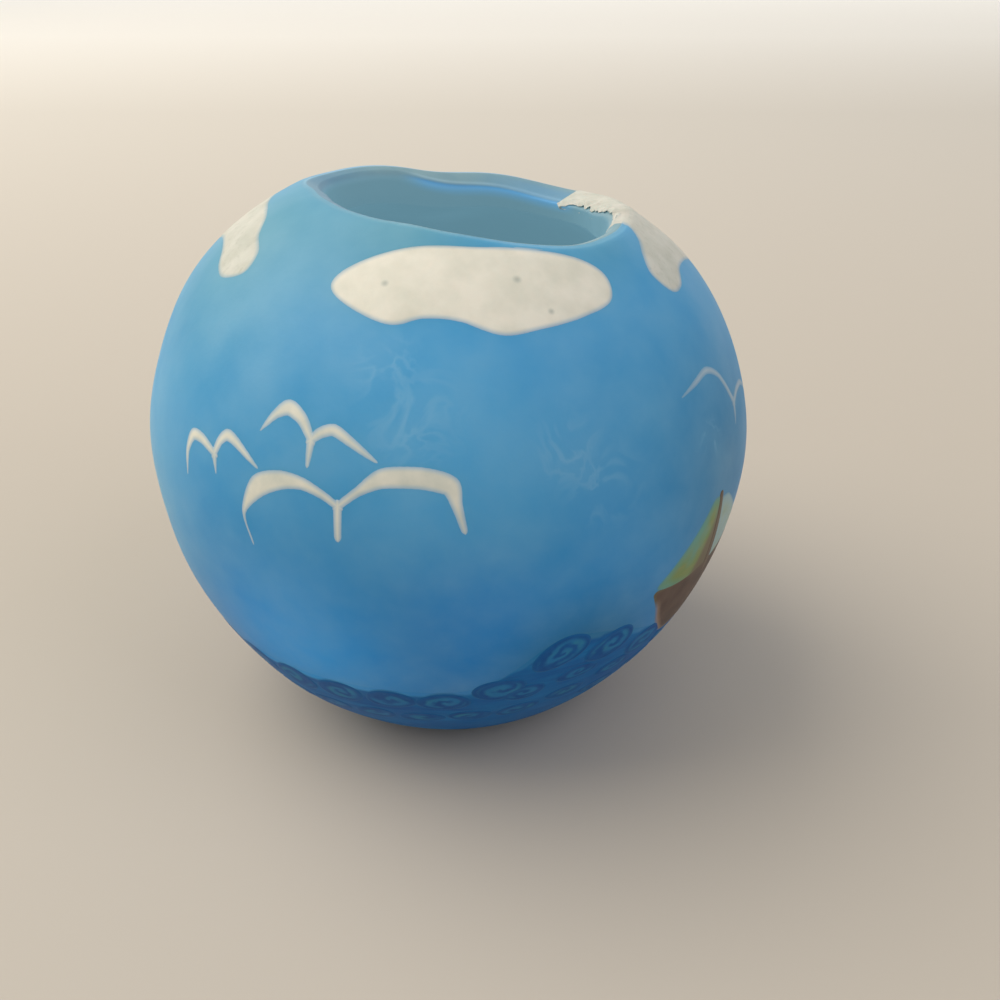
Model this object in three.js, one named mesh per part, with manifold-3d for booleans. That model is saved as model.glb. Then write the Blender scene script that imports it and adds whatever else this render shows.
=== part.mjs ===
// A hollow wax globe lantern candle with an inlaid seaside picture and a lift-out tea light.
// Millimetres and degrees. +Z is up, the origin is the middle of the flat foot, and -Y is the front.
// Azimuth 0 is the front and turns towards +X. The polar angle is measured down from straight up.

import * as THREE from 'three';
import Module from 'manifold-3d';

const wasm = await Module();
wasm.setup();

// The globe: a hand-pressed ball, a little flat at the shoulders and full towards the foot.
const globeRadius = 55;
const footRadius = 25;
const squatShare = 0.0048;
const pearShare = -0.0368;
const barrelShare = 0.0022;
const pressMarks = [
  { azimuth: -82, polar: 50, rise: 0.4, spread: 14 },
  { azimuth: -76, polar: 65, rise: -0.5, spread: 10 },
  { azimuth: -70, polar: 94, rise: -0.5, spread: 10 },
  { azimuth: -32, polar: 126, rise: 0.4, spread: 11 },
  { azimuth: 30, polar: 121, rise: -0.4, spread: 12 },
  { azimuth: 78, polar: 86, rise: 0.5, spread: 12 },
  { azimuth: 105, polar: 39, rise: -0.9, spread: 10 },
  { azimuth: 188, polar: 33, rise: -2.3, spread: 11 },
];

// The wall: pale core wax inside, a coloured wax skin outside, and the inlays set through the skin.
const wallThickness = 7.5;
const skinThickness = 1.8;
const seam = 0.3;
const footLift = 0.6;

// The tea light that stands inside: a pressed aluminium cup with its wax, wick and wick plate.
const cupRadius = 19.2;
const cupHeight = 15.5;
const cupWall = 0.4;
const cupTaper = 0.8;
const cupRimWidth = 0.9;
const cupFloor = 0.4;
const waxBelowRim = 2.6;
const wickRadius = 0.8;
const wickAboveWax = 6.5;
const plateRadius = 6.3;
const plateThickness = 0.4;
const collarRadius = 1.6;
const collarHeight = 3.5;

// The floor of the hollow, with a shallow seat for the tea light.
const floorThickness = 13.5;
const seatDepth = 1.5;
const seatClearance = 0.6;
const floorFillet = 3;

// The mouth: wide enough for the tea light and fingers, cut leaning down towards the right and the back.
const fingerRoom = 7;
const lipWidth = 2.5;
const lipWidthChange = 1.2;
const lipWideSide = 140;
const lipLean = 6.6;
const lipLeanSide = 110;
const lipWaves = [
  { count: 2, height: 0.5, start: -115 },
  { count: 3, height: 1.9, start: 62 },
  { count: 4, height: 1.4, start: -151 },
];
const lipEdgeDrop = 0.5;
const lipEdgeRound = 1.6;
const lipSlope = 1.1;
const lipInnerRound = 1.2;
const mouthRadius = cupRadius + fingerRoom + lipWidth;

// The sea: a darker strip of skin round the foot, which swells up into crests.
const seaPolar = 114.5;
const swellCrests = 3;
const swellFirstCrest = 22;
const swellHeight = 12.5;
const swellSteepSide = 10;
const swellLongSide = 24;

// The wave slices: round cuts of a rolled two-tone wax cane, set side by side along the sea's edge.
const waveSlices = 33;
const waveSliceFill = 0.87;
const waveSliceSides = 8;

// The picture is drawn in units that are a share of the globe's radius, and grows with the globe.
const pictureUnit = 1 / 55;
const waveSliceDrop = 4;

// How finely the round shapes are cut into flat facets.
const aroundGlobe = 40;
const aroundCup = 32;
const skyRows = 9;
const seaRows = 3;
const hollowRows = 7;
const outlineSteps = 2;
const strokeSteps = 2;
const aroundPlate = 24;
const aroundWick = 12;

// The cutters reach from under the skin to outside it, as shares of the globe's radius.
const cutterInside = 0.7;
const cutterOutside = 1.3;
const sharpestSpread = 0.5;

// Angles near the foot are found by repeated substitution from this start.
const solverStart = 145;
const solverRounds = 20;
const unmarkedSide = 180;

// The wax and metal colours, and how rough each surface is.
const coreBlue = 0x8fb4c2;
const skyBlue = 0x4c9bcb;
const seaBlue = 0x1f5c93;
const waveBlue = 0x2f74a8;
const ivory = 0xe2e0d0;
const hullBrown = 0x5e4234;
const mastBrown = 0x6b4a2c;
const sailGreen = 0x8fa83c;
const sailPale = 0xbccbb0;
const paraffin = 0xf1efe6;
const aluminium = 0xc9ccce;
const tin = 0xa9abad;
const cotton = 0xece6d6;
const waxFinish = 0.45;
const fillFinish = 0.5;
const foilFinish = 0.3;
const tinFinish = 0.4;
const cottonFinish = 0.9;

const inRadians = Math.PI / 180;
const globe = new THREE.Group();

function material(color, roughness, metalness = 0) {
  return new THREE.MeshStandardMaterial({ color, roughness, metalness });
}

function addPiece(name, geometry, surface, group = globe) {
  const mesh = new THREE.Mesh(geometry, surface);
  mesh.name = name;
  group.add(mesh);
}

// Unit direction from the globe's centre.
function directionAt(azimuth, polar) {
  const a = azimuth * inRadians;
  const p = polar * inRadians;
  return new THREE.Vector3(Math.sin(p) * Math.sin(a), -Math.sin(p) * Math.cos(a), Math.cos(p));
}

const pressDirections = pressMarks.map((mark) => directionAt(mark.azimuth, mark.polar));

// Distance from the centre to the outside: a ball with three Legendre terms and the press marks.
function outsideRadius(azimuth, polar) {
  const c = Math.cos(polar * inRadians);
  const squat = squatShare * (3 * c ** 2 - 1) / 2;
  const pear = pearShare * (5 * c ** 3 - 3 * c) / 2;
  const barrel = barrelShare * (35 * c ** 4 - 30 * c ** 2 + 3) / 8;
  let radius = globeRadius * (1 + squat + pear + barrel);
  const direction = directionAt(azimuth, polar);
  pressMarks.forEach((mark, i) => {
    const away = direction.angleTo(pressDirections[i]) / (mark.spread * inRadians);
    radius += mark.rise * Math.exp(-(away ** 2));
  });
  return radius;
}

// Polar angle near the foot where the outside has the wanted radius from the axis.
function polarAtFootRadius(radius) {
  let polar = solverStart;
  for (let i = 0; i < solverRounds; i += 1) {
    const ratio = Math.min(1, radius / outsideRadius(unmarkedSide, polar));
    polar = 180 - Math.asin(ratio) / inRadians;
  }
  return polar;
}

const footPolar = polarAtFootRadius(footRadius);
const centreHeight = -outsideRadius(unmarkedSide, footPolar) * Math.cos(footPolar * inRadians);

function pointAt(azimuth, polar, depth) {
  const point = directionAt(azimuth, polar).multiplyScalar(outsideRadius(azimuth, polar) - depth);
  point.z += centreHeight;
  return point;
}

// Polar angle below the middle where the surface at this depth passes the wanted height.
function polarAtHeight(azimuth, height, depth) {
  let polar = solverStart;
  for (let i = 0; i < solverRounds; i += 1) {
    const ratio = (height - centreHeight) / (outsideRadius(azimuth, polar) - depth);
    polar = Math.acos(Math.max(-1, Math.min(1, ratio))) / inRadians;
  }
  return polar;
}

// The lip's polar angle all the way round: a leaning cut with hand-made waves.
const lipOpening = Math.asin(mouthRadius / globeRadius) / inRadians;

function lipPolar(azimuth) {
  let polar = lipOpening + lipLean * Math.cos((azimuth - lipLeanSide) * inRadians);
  lipWaves.forEach((wave) => {
    polar += wave.height * Math.cos((wave.count * azimuth - wave.start) * inRadians);
  });
  return polar;
}

// A point by the lip: inward is the distance from the lip's outer edge towards the mouth's middle.
function lipPoint(azimuth, inward, depth) {
  const polar = lipPolar(azimuth) - inward / globeRadius / inRadians;
  return pointAt(azimuth, polar, depth);
}

function lipWidthAt(azimuth) {
  return lipWidth + lipWidthChange * Math.cos((azimuth - lipWideSide) * inRadians);
}

// The sea's edge: level, with crests that rise steeply on one side and fall away on the other.
function seaEdge(azimuth) {
  const crestGap = 360 / swellCrests;
  const turned = azimuth - swellFirstCrest + crestGap / 2;
  const fromCrest = THREE.MathUtils.euclideanModulo(turned, crestGap) - crestGap / 2;
  const side = fromCrest < 0 ? swellSteepSide : swellLongSide;
  return seaPolar - swellHeight * Math.exp(-((fromCrest / side) ** 2));
}

// One ring of points round the globe, from a function of the azimuth.
function ringOf(pointFor, count = aroundGlobe) {
  return Array.from({ length: count }, (_, i) => pointFor((i * 360) / count));
}

// A closed surface from rings of points. A single point closes an end, and loop joins last to first.
function surfaceFromRings(rings, loop = false) {
  const positions = [];
  const starts = rings.map((ring) => {
    const start = positions.length / 3;
    ring.forEach((p) => positions.push(p.x, p.y, p.z));
    return start;
  });
  const count = Math.max(...rings.map((ring) => ring.length));
  const faces = [];
  const bands = loop ? rings.length : rings.length - 1;
  for (let band = 0; band < bands; band += 1) {
    const next = (band + 1) % rings.length;
    for (let i = 0; i < count; i += 1) {
      const j = (i + 1) % count;
      const a = starts[band];
      const b = starts[next];
      if (rings[band].length === 1) {
        faces.push(a, b + j, b + i);
      } else if (rings[next].length === 1) {
        faces.push(a + i, a + j, b);
      } else {
        faces.push(a + i, a + j, b + j, a + i, b + j, b + i);
      }
    }
  }
  return closedGeometry(positions, faces);
}

// Faces are turned outward by the sign of the enclosed volume.
function closedGeometry(positions, faces) {
  let volume = 0;
  const corner = (k) => new THREE.Vector3().fromArray(positions, faces[k] * 3);
  for (let f = 0; f < faces.length; f += 3) {
    volume += corner(f).dot(corner(f + 1).cross(corner(f + 2)));
  }
  const geometry = new THREE.BufferGeometry();
  geometry.setAttribute('position', new THREE.Float32BufferAttribute(positions, 3));
  geometry.setIndex(volume > 0 ? faces : faces.slice().reverse());
  return geometry;
}

function toSolid(geometry) {
  const vertProperties = new Float32Array(geometry.attributes.position.array);
  const triVerts = new Uint32Array(geometry.index.array);
  return new wasm.Manifold(new wasm.Mesh({ numProp: 3, vertProperties, triVerts }));
}

function toGeometry(solid) {
  const mesh = solid.getMesh();
  const geometry = new THREE.BufferGeometry();
  geometry.setAttribute('position', new THREE.Float32BufferAttribute(mesh.vertProperties, 3));
  geometry.setIndex(Array.from(mesh.triVerts));
  return geometry;
}

// The core: flat foot, outside under the skin, rounded lip, hollow, floor and tea light seat.
const underSkin = skinThickness + seam;
const mouthHeight = globeRadius * Math.cos(lipOpening * inRadians) - lipWidth;
const mouthShift = mouthHeight * Math.sin(lipLean * inRadians);
const seatX = mouthShift * Math.sin(lipLeanSide * inRadians);
const seatY = -mouthShift * Math.cos(lipLeanSide * inRadians);
const seatRadius = cupRadius + seatClearance;
const seatHeight = floorThickness - seatDepth;

// Rows run from the lip down to the sea's edge, and on from there to the foot, alike in core and skin.
function rowPolar(azimuth, row) {
  if (row <= skyRows) {
    return THREE.MathUtils.lerp(lipPolar(azimuth), seaEdge(azimuth), row / skyRows);
  }
  return THREE.MathUtils.lerp(seaEdge(azimuth), skinFoot(azimuth), (row - skyRows) / seaRows);
}

function skinFoot(azimuth) {
  return polarAtHeight(azimuth, footLift, 0);
}

// The core's foot comes out to the outside below the skin, as a low band that the skin stops above.
function footBandPolar(azimuth) {
  return skinFoot(azimuth) + seam / globeRadius / inRadians;
}

function ringInHollow(share) {
  return ringOf((azimuth) => {
    const top = lipPolar(azimuth) - (lipWidthAt(azimuth) - 2 * lipInnerRound) / globeRadius / inRadians;
    const bottom = polarAtHeight(azimuth, floorThickness + floorFillet, wallThickness);
    return pointAt(azimuth, THREE.MathUtils.lerp(top, bottom, share), wallThickness);
  });
}

function ringOnFloor() {
  return ringOf((azimuth) => {
    const polar = polarAtHeight(azimuth, floorThickness + floorFillet, wallThickness);
    const wall = pointAt(azimuth, polar, wallThickness);
    const inward = new THREE.Vector3(wall.x, wall.y, 0).setLength(floorFillet);
    return new THREE.Vector3(wall.x - inward.x, wall.y - inward.y, floorThickness);
  });
}

function ringOnSeat(height) {
  return ringOf((azimuth) => {
    const a = azimuth * inRadians;
    return new THREE.Vector3(seatX + seatRadius * Math.sin(a), seatY - seatRadius * Math.cos(a), height);
  });
}

function coreShell() {
  const rings = [[new THREE.Vector3(0, 0, 0)]];
  rings.push(ringOf((azimuth) => pointAt(azimuth, polarAtHeight(azimuth, 0, 0), 0)));
  rings.push(ringOf((azimuth) => pointAt(azimuth, footBandPolar(azimuth), 0)));
  rings.push(ringOf((azimuth) => pointAt(azimuth, footBandPolar(azimuth), underSkin)));
  for (let row = skyRows + seaRows - 1; row >= 0; row -= 1) {
    rings.push(ringOf((azimuth) => pointAt(azimuth, rowPolar(azimuth, row), underSkin)));
  }
  const slopeStart = lipEdgeDrop + seam;
  rings.push(ringOf((azimuth) => lipPoint(azimuth, seam, underSkin)));
  rings.push(ringOf((azimuth) => lipPoint(azimuth, seam, slopeStart)));
  rings.push(ringOf((azimuth) => {
    const slopeEnd = lipWidthAt(azimuth) - lipInnerRound / 2;
    return lipPoint(azimuth, slopeEnd, slopeStart + lipSlope * slopeEnd);
  }));
  rings.push(ringOf((azimuth) => {
    const slopeDrop = lipSlope * lipWidthAt(azimuth);
    return lipPoint(azimuth, lipWidthAt(azimuth), slopeStart + slopeDrop + lipInnerRound / 2);
  }));
  for (let row = 0; row <= hollowRows; row += 1) {
    rings.push(ringInHollow(row / hollowRows));
  }
  rings.push(ringOnFloor());
  rings.push(ringOnSeat(floorThickness));
  rings.push(ringOnSeat(seatHeight));
  rings.push([new THREE.Vector3(seatX, seatY, seatHeight)]);
  return surfaceFromRings(rings);
}

// A strip of skin from one row to another, with half a seam taken off where it meets another strip.
const halfSeam = seam / 2 / globeRadius / inRadians;

function skinStrip(firstRow, lastRow) {
  const outside = [];
  const inside = [];
  for (let row = firstRow; row <= lastRow; row += 1) {
    const isLip = row === 0;
    const cutBack = (row === firstRow && !isLip ? halfSeam : 0) - (row === lastRow ? halfSeam : 0);
    const polarOf = (azimuth) => rowPolar(azimuth, row) + cutBack;
    outside.push(ringOf((azimuth) => pointAt(azimuth, polarOf(azimuth), isLip ? lipEdgeDrop : 0)));
    if (isLip) {
      outside.push(ringOf((azimuth) => lipPoint(azimuth, -lipEdgeRound, 0)));
    }
    inside.unshift(ringOf((azimuth) => pointAt(azimuth, polarOf(azimuth), skinThickness)));
  }
  return toSolid(surfaceFromRings([...outside, ...inside], true));
}

const wholeSkin = skinStrip(0, skyRows + seaRows);
const skySkin = skinStrip(0, skyRows);
const seaSkin = skinStrip(skyRows, skyRows + seaRows);

// A flat drawing is laid on the globe round its middle: x runs along, y runs up the surface, in units.
function layOnGlobe(middle, x, y) {
  const polar = middle.polar - y * pictureUnit / inRadians;
  const azimuth = middle.azimuth + x * pictureUnit / Math.sin(polar * inRadians) / inRadians;
  return directionAt(azimuth, polar);
}

// A cutter through the skin: an outline carried along straight rays from the globe's centre.
function cutterFor(middle, outline) {
  const flat = THREE.ShapeUtils.isClockWise(outline) ? outline.slice().reverse() : outline;
  const rays = flat.map((p) => layOnGlobe(middle, p.x, p.y));
  const positions = [];
  [cutterInside, cutterOutside].forEach((share) => {
    rays.forEach((ray) => {
      const reach = globeRadius * share;
      positions.push(ray.x * reach, ray.y * reach, ray.z * reach + centreHeight);
    });
  });
  const faces = [];
  const count = rays.length;
  THREE.ShapeUtils.triangulateShape(flat, []).forEach(([a, b, c]) => {
    faces.push(c, b, a, a + count, b + count, c + count);
  });
  for (let i = 0; i < count; i += 1) {
    const j = (i + 1) % count;
    faces.push(i, j, j + count, i, j + count, i + count);
  }
  return toSolid(closedGeometry(positions, faces));
}

// An outline moved outward by a distance, each corner along the middle of its two edges' normals.
function grownOutline(outline, distance) {
  const turned = THREE.ShapeUtils.isClockWise(outline) ? outline.slice().reverse() : outline;
  return turned.map((p, i) => {
    const before = turned[(i + turned.length - 1) % turned.length];
    const after = turned[(i + 1) % turned.length];
    const normalIn = new THREE.Vector2(p.y - before.y, before.x - p.x).normalize();
    const normalOut = new THREE.Vector2(after.y - p.y, p.x - after.x).normalize();
    const normal = normalIn.clone().add(normalOut).normalize();
    const spread = Math.max(sharpestSpread, normal.dot(normalOut));
    return p.clone().addScaledVector(normal, distance / spread);
  });
}

function pointsFrom(pairs) {
  return pairs.map(([x, y]) => new THREE.Vector2(x, y));
}

// A soft closed outline through the given points.
function softOutline(pairs) {
  const curve = new THREE.CatmullRomCurve3(pairs.map(([x, y]) => new THREE.Vector3(x, y, 0)), true);
  const steps = pairs.length * outlineSteps;
  return Array.from({ length: steps }, (_, i) => {
    const p = curve.getPoint(i / steps);
    return new THREE.Vector2(p.x, p.y);
  });
}

// A brush stroke: a soft line through [x, y, width] points, given its two sides.
function strokeOutline(points, extra) {
  const knots = points.map(([x, y, width]) => new THREE.Vector3(x, y, width));
  const line = new THREE.CatmullRomCurve3(knots, false, 'centripetal');
  const steps = (points.length - 1) * strokeSteps;
  const upper = [];
  const lower = [];
  for (let i = 0; i <= steps; i += 1) {
    const here = line.getPoint(i / steps);
    const ahead = line.getPoint(Math.min(1, (i + 0.5) / steps));
    const behind = line.getPoint(Math.max(0, (i - 0.5) / steps));
    const along = new THREE.Vector2(ahead.x - behind.x, ahead.y - behind.y).normalize();
    const past = (i === steps ? extra : 0) - (i === 0 ? extra : 0);
    const half = here.z / 2 + extra;
    const x = here.x + along.x * past;
    const y = here.y + along.y * past;
    upper.push(new THREE.Vector2(x - along.y * half, y + along.x * half));
    lower.unshift(new THREE.Vector2(x + along.y * half, y - along.x * half));
  }
  return [...upper, ...lower];
}

// An inlay is a piece and the pocket that it sits in, which is larger by the seam.
const drawnSeam = seam / globeRadius / pictureUnit;

function outlineInlay(middle, outline) {
  return {
    piece: cutterFor(middle, outline),
    pocket: cutterFor(middle, grownOutline(outline, drawnSeam)),
  };
}

function strokeInlay(middle, strokes) {
  const joined = (extra) => strokes
    .map((stroke) => cutterFor(middle, strokeOutline(stroke, extra)))
    .reduce((whole, part) => whole.add(part));
  return { piece: joined(0), pocket: joined(drawnSeam) };
}

// Clouds of ivory wax. The right one reaches up over the lip.
const clouds = {
  cloud_front: outlineInlay({ azimuth: 9.5, polar: 41.5 }, softOutline([
    [-21.7, -0.7], [-19.5, 2.4], [-13.5, 6], [-7, 8], [1, 7.6], [9, 6.2], [17, 3], [21.6, -1],
    [21.6, -5], [16.5, -6.4], [9, -7.2], [3, -7.5], [-3, -5], [-8, -4.5], [-13, -5.6], [-19, -3.3],
  ])),
  cloud_left: outlineInlay({ azimuth: -80, polar: 40 }, softOutline([
    [18.2, -3.6], [14.5, -6], [10.5, -5.4], [5, -3.2], [-1, -3], [-8, -5.2], [-16, -5.4],
    [-22, -2.5], [-21.5, 1.8], [-14, 5.2], [-4, 6.4], [5, 5.8], [11, 2.6], [16, 0.2],
  ])),
  cloud_right: outlineInlay({ azimuth: 100, polar: 44 }, softOutline([
    [-16.5, 8.5], [-20, 4.8], [-25, 1.8], [-28.6, -1.5], [-28.4, -5.4], [-24.5, -5.6], [-19, -3.6],
    [-13, -4.2], [-6, -6.6], [3, -8], [12, -6.8], [19, -4], [23.5, 0.5], [22.5, 6], [20.5, 12],
    [18, 19], [0, 21], [-14, 18], [-15, 12],
  ])),
  cloud_back: outlineInlay({ azimuth: 190, polar: 47 }, softOutline([
    [-15, -1], [-10, 3.5], [-3, 5], [5, 4.2], [12, 3.5], [16, 0], [13, -3.6], [6, -4.4],
    [0, -3.2], [-7, -4.6], [-13, -3.6],
  ])),
};

// Gulls in flight, each of two wing strokes and a tail stroke that meet. Points are x, y and width.
const plainGull = [
  [[-8.5, -3, 0.7], [-6, 0.6, 1.5], [-3.6, 1.6, 2], [-1.4, 0.4, 1.6], [0, -1.6, 1.4]],
  [[0, -1.6, 1.4], [-0.1, -4.8, 0.7]],
  [[0, -1.6, 1.4], [1.6, 0.6, 1.6], [3.8, 1.7, 2], [6.2, 0.5, 1.5], [9, -3.2, 0.7]],
];
const gulls = {
  gull_large: strokeInlay({ azimuth: -15, polar: 75 }, [
    [[-15, -9.1, 0.7], [-16.3, -4.4, 1], [-13.4, 0.3, 3.4], [-9.5, 2.1, 3], [-5.8, 2.3, 2.1],
      [-2.5, 1.2, 1.5], [0, -0.2, 1.3]],
    [[0, -0.2, 1.3], [0, -4.8, 0.9]],
    [[0, -0.2, 1.3], [3, 2.3, 1.6], [6.6, 4.5, 3.1], [12, 4.7, 3.3], [16, 3.6, 3], [17.2, 0.8, 1.8],
      [18.4, -2.8, 1.1]],
  ]),
  gull_upper: strokeInlay({ azimuth: -20, polar: 65 }, [
    [[-8.7, -0.8, 0.7], [-6.6, 1.7, 1.5], [-4.4, 3.1, 2.5], [-2, 1.8, 2], [-0.2, -0.8, 1.4]],
    [[-0.2, -0.8, 1.4], [-0.4, -4.3, 0.7]],
    [[-0.2, -0.8, 1.4], [1.2, 0.4, 1.8], [3.1, 1, 1.9], [5.5, -0.2, 1.6], [9.6, -2.7, 0.8]],
  ]),
  gull_left: strokeInlay({ azimuth: -38.5, polar: 70 }, [
    [[-8, -7.2, 0.7], [-8.2, -3.6, 1.2], [-7, -0.8, 2], [-4.4, -0.7, 1.8], [-1.2, -2, 1.3]],
    [[-1.2, -2, 1.3], [-0.5, -4.6, 0.7]],
    [[-1.2, -2, 1.3], [-0.2, 0.3, 1.6], [1.2, 1.5, 2], [3.3, 0.9, 1.7], [7.6, -1.6, 0.8]],
  ]),
  gull_right: strokeInlay({ azimuth: 66, polar: 68 }, [
    [[-15.4, 2.7, 0.7], [-11.5, 3.5, 1.1], [-6.8, 4.2, 1.4], [-3, 2, 1.2], [0.9, -4.2, 1.4]],
    [[0.9, -4.2, 1.4], [0.2, -7.4, 0.8]],
    [[0.9, -4.2, 1.4], [4, -3.2, 1.4], [8, -3.5, 1.3], [12, -5.6, 1], [14.5, -8.4, 0.7]],
  ]),
  gull_back_high: strokeInlay({ azimuth: 168, polar: 68 }, plainGull),
  gull_back_low: strokeInlay({ azimuth: 196, polar: 79 }, plainGull),
};

// A small boat under sail, whose hull sits in the waves.
const boatMiddle = { azimuth: 58.5, polar: 100 };
const mastHalf = 0.6;
const mastHeight = 15.4;
const mastFoot = -0.6;
const sailFoot = 0.9;
const sailFootSag = 0.5;
const sailGap = mastHalf + 2 * drawnSeam;
const boat = {
  boat_hull: outlineInlay(boatMiddle, pointsFrom([
    [-17.6, 1], [-15.4, -2.6], [-13, -7.6], [-7.6, -14.4], [7.4, -14.4], [13, -7.4], [15.8, -2.4],
    [17.8, 1.2], [9, -0.6], [0, -1.2], [-9, -0.6],
  ])),
  boat_mast: outlineInlay(boatMiddle, pointsFrom([
    [-mastHalf, mastFoot], [mastHalf, mastFoot], [mastHalf / 2, mastHeight], [-mastHalf / 2, mastHeight],
  ])),
  boat_foresail: outlineInlay(boatMiddle, pointsFrom([
    [-17.4, 2.6], [-12.4, 6.4], [-7.6, 10], [-3.2, 13.6], [-sailGap, 13], [-sailGap, sailFoot],
    [-9, sailFoot + sailFootSag],
  ])),
  boat_mainsail: outlineInlay(boatMiddle, pointsFrom([
    [sailGap, sailFoot], [sailGap, 12.6], [3.4, 12], [8.6, 7.6], [13.6, 3],
    [8, sailFoot + sailFootSag],
  ])),
};

// The mast's foot is trimmed by the hull's pocket, so that hull and mast keep a seam.
boat.boat_mast.piece = boat.boat_mast.piece.subtract(boat.boat_hull.pocket);

const waveSlicePitch = 2 * Math.PI * Math.sin(seaPolar * inRadians) / pictureUnit / waveSlices;
const waveSliceRadius = waveSliceFill * waveSlicePitch / 2;

function waveSliceInlay(index) {
  const azimuth = swellFirstCrest + (index * 360) / waveSlices;
  const polar = seaEdge(azimuth) + waveSliceDrop * pictureUnit / inRadians;
  const outline = Array.from({ length: waveSliceSides }, (_, i) => {
    const turn = (i / waveSliceSides) * 2 * Math.PI;
    return new THREE.Vector2(Math.cos(turn), Math.sin(turn)).multiplyScalar(waveSliceRadius);
  });
  return outlineInlay({ azimuth, polar }, outline);
}

const waves = {};
for (let i = 0; i < waveSlices; i += 1) {
  waves[`wave_slice_${String(i + 1).padStart(2, '0')}`] = waveSliceInlay(i);
}

// The hull sits behind the tops of the waves, so their pockets are cut out of it.
const wavePockets = wasm.Manifold.union(Object.values(waves).map((slice) => slice.pocket));
boat.boat_hull.piece = boat.boat_hull.piece.subtract(wavePockets);

// The skin pieces: every inlay is cut from the whole skin, and its pocket out of the sky or the sea.
const pictureInlays = [clouds, gulls, boat].flatMap((set) => Object.values(set));
const picturePockets = wasm.Manifold.union(pictureInlays.map((inlay) => inlay.pocket));
const allPockets = picturePockets.add(wavePockets);

function addInlays(set, colourFor) {
  Object.entries(set).forEach(([name, inlay]) => {
    addPiece(name, toGeometry(wholeSkin.intersect(inlay.piece)), material(colourFor(name), waxFinish));
  });
}

const boatColours = {
  boat_hull: hullBrown,
  boat_mast: mastBrown,
  boat_foresail: sailGreen,
  boat_mainsail: sailPale,
};

addPiece('core_shell', coreShell(), material(coreBlue, waxFinish));
addPiece('sky_skin', toGeometry(skySkin.subtract(allPockets)), material(skyBlue, waxFinish));
addPiece('sea_skin', toGeometry(seaSkin.subtract(allPockets)), material(seaBlue, waxFinish));
addInlays(clouds, () => ivory);
addInlays(gulls, () => ivory);
addInlays(boat, (name) => boatColours[name]);
addInlays(waves, () => waveBlue);

// The tea light, turned on a lathe round its own axis and stood in the seat.
const teaLight = new THREE.Group();
teaLight.position.set(seatX, seatY, seatHeight + seam);
globe.add(teaLight);

function latheSurface(pairs, segments = aroundCup) {
  const rings = pairs.map(([radius, height]) => {
    if (radius === 0) {
      return [new THREE.Vector3(0, 0, height)];
    }
    return ringOf((azimuth) => {
      const a = azimuth * inRadians;
      return new THREE.Vector3(radius * Math.sin(a), -radius * Math.cos(a), height);
    }, segments);
  });
  return surfaceFromRings(rings, pairs[0][0] !== 0);
}

const cupFoot = cupRadius - cupTaper - cupRimWidth;
const cupTop = cupRadius - cupRimWidth;
const waxTop = cupHeight - waxBelowRim;
const waxFoot = cupFloor + seam;
const wallIn = cupWall + seam;
const plateTop = waxFoot + plateThickness;
const collarTop = plateTop + collarHeight;
const wickTop = waxTop + wickAboveWax;

function waxRadiusAt(height) {
  return THREE.MathUtils.lerp(cupFoot, cupTop, height / cupHeight) - wallIn;
}

addPiece('tealight_cup', latheSurface([
  [0, 0], [cupFoot, 0], [cupTop, cupHeight - cupRimWidth], [cupRadius, cupHeight - cupRimWidth],
  [cupRadius, cupHeight], [cupTop - cupWall, cupHeight], [cupFoot - cupWall, cupFloor], [0, cupFloor],
]), material(aluminium, foilFinish, 1), teaLight);

addPiece('tealight_wax', latheSurface([
  [plateRadius + seam, waxFoot], [waxRadiusAt(waxFoot), waxFoot], [waxRadiusAt(waxTop), waxTop],
  [wickRadius + seam, waxTop], [wickRadius + seam, collarTop + seam],
  [collarRadius + seam, collarTop + seam], [collarRadius + seam, plateTop + seam],
  [plateRadius + seam, plateTop + seam],
]), material(paraffin, fillFinish), teaLight);

addPiece('wick_plate', latheSurface([
  [0, waxFoot], [plateRadius, waxFoot], [plateRadius, plateTop], [collarRadius, plateTop],
  [collarRadius, collarTop], [wickRadius + seam, collarTop], [wickRadius + seam, plateTop], [0, plateTop],
], aroundPlate), material(tin, tinFinish, 1), teaLight);

addPiece('wick', latheSurface([
  [0, plateTop + seam], [wickRadius, plateTop + seam], [wickRadius, wickTop - wickRadius],
  [wickRadius / 2, wickTop], [0, wickTop],
], aroundWick), material(cotton, cottonFinish), teaLight);

export default globe;
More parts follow.
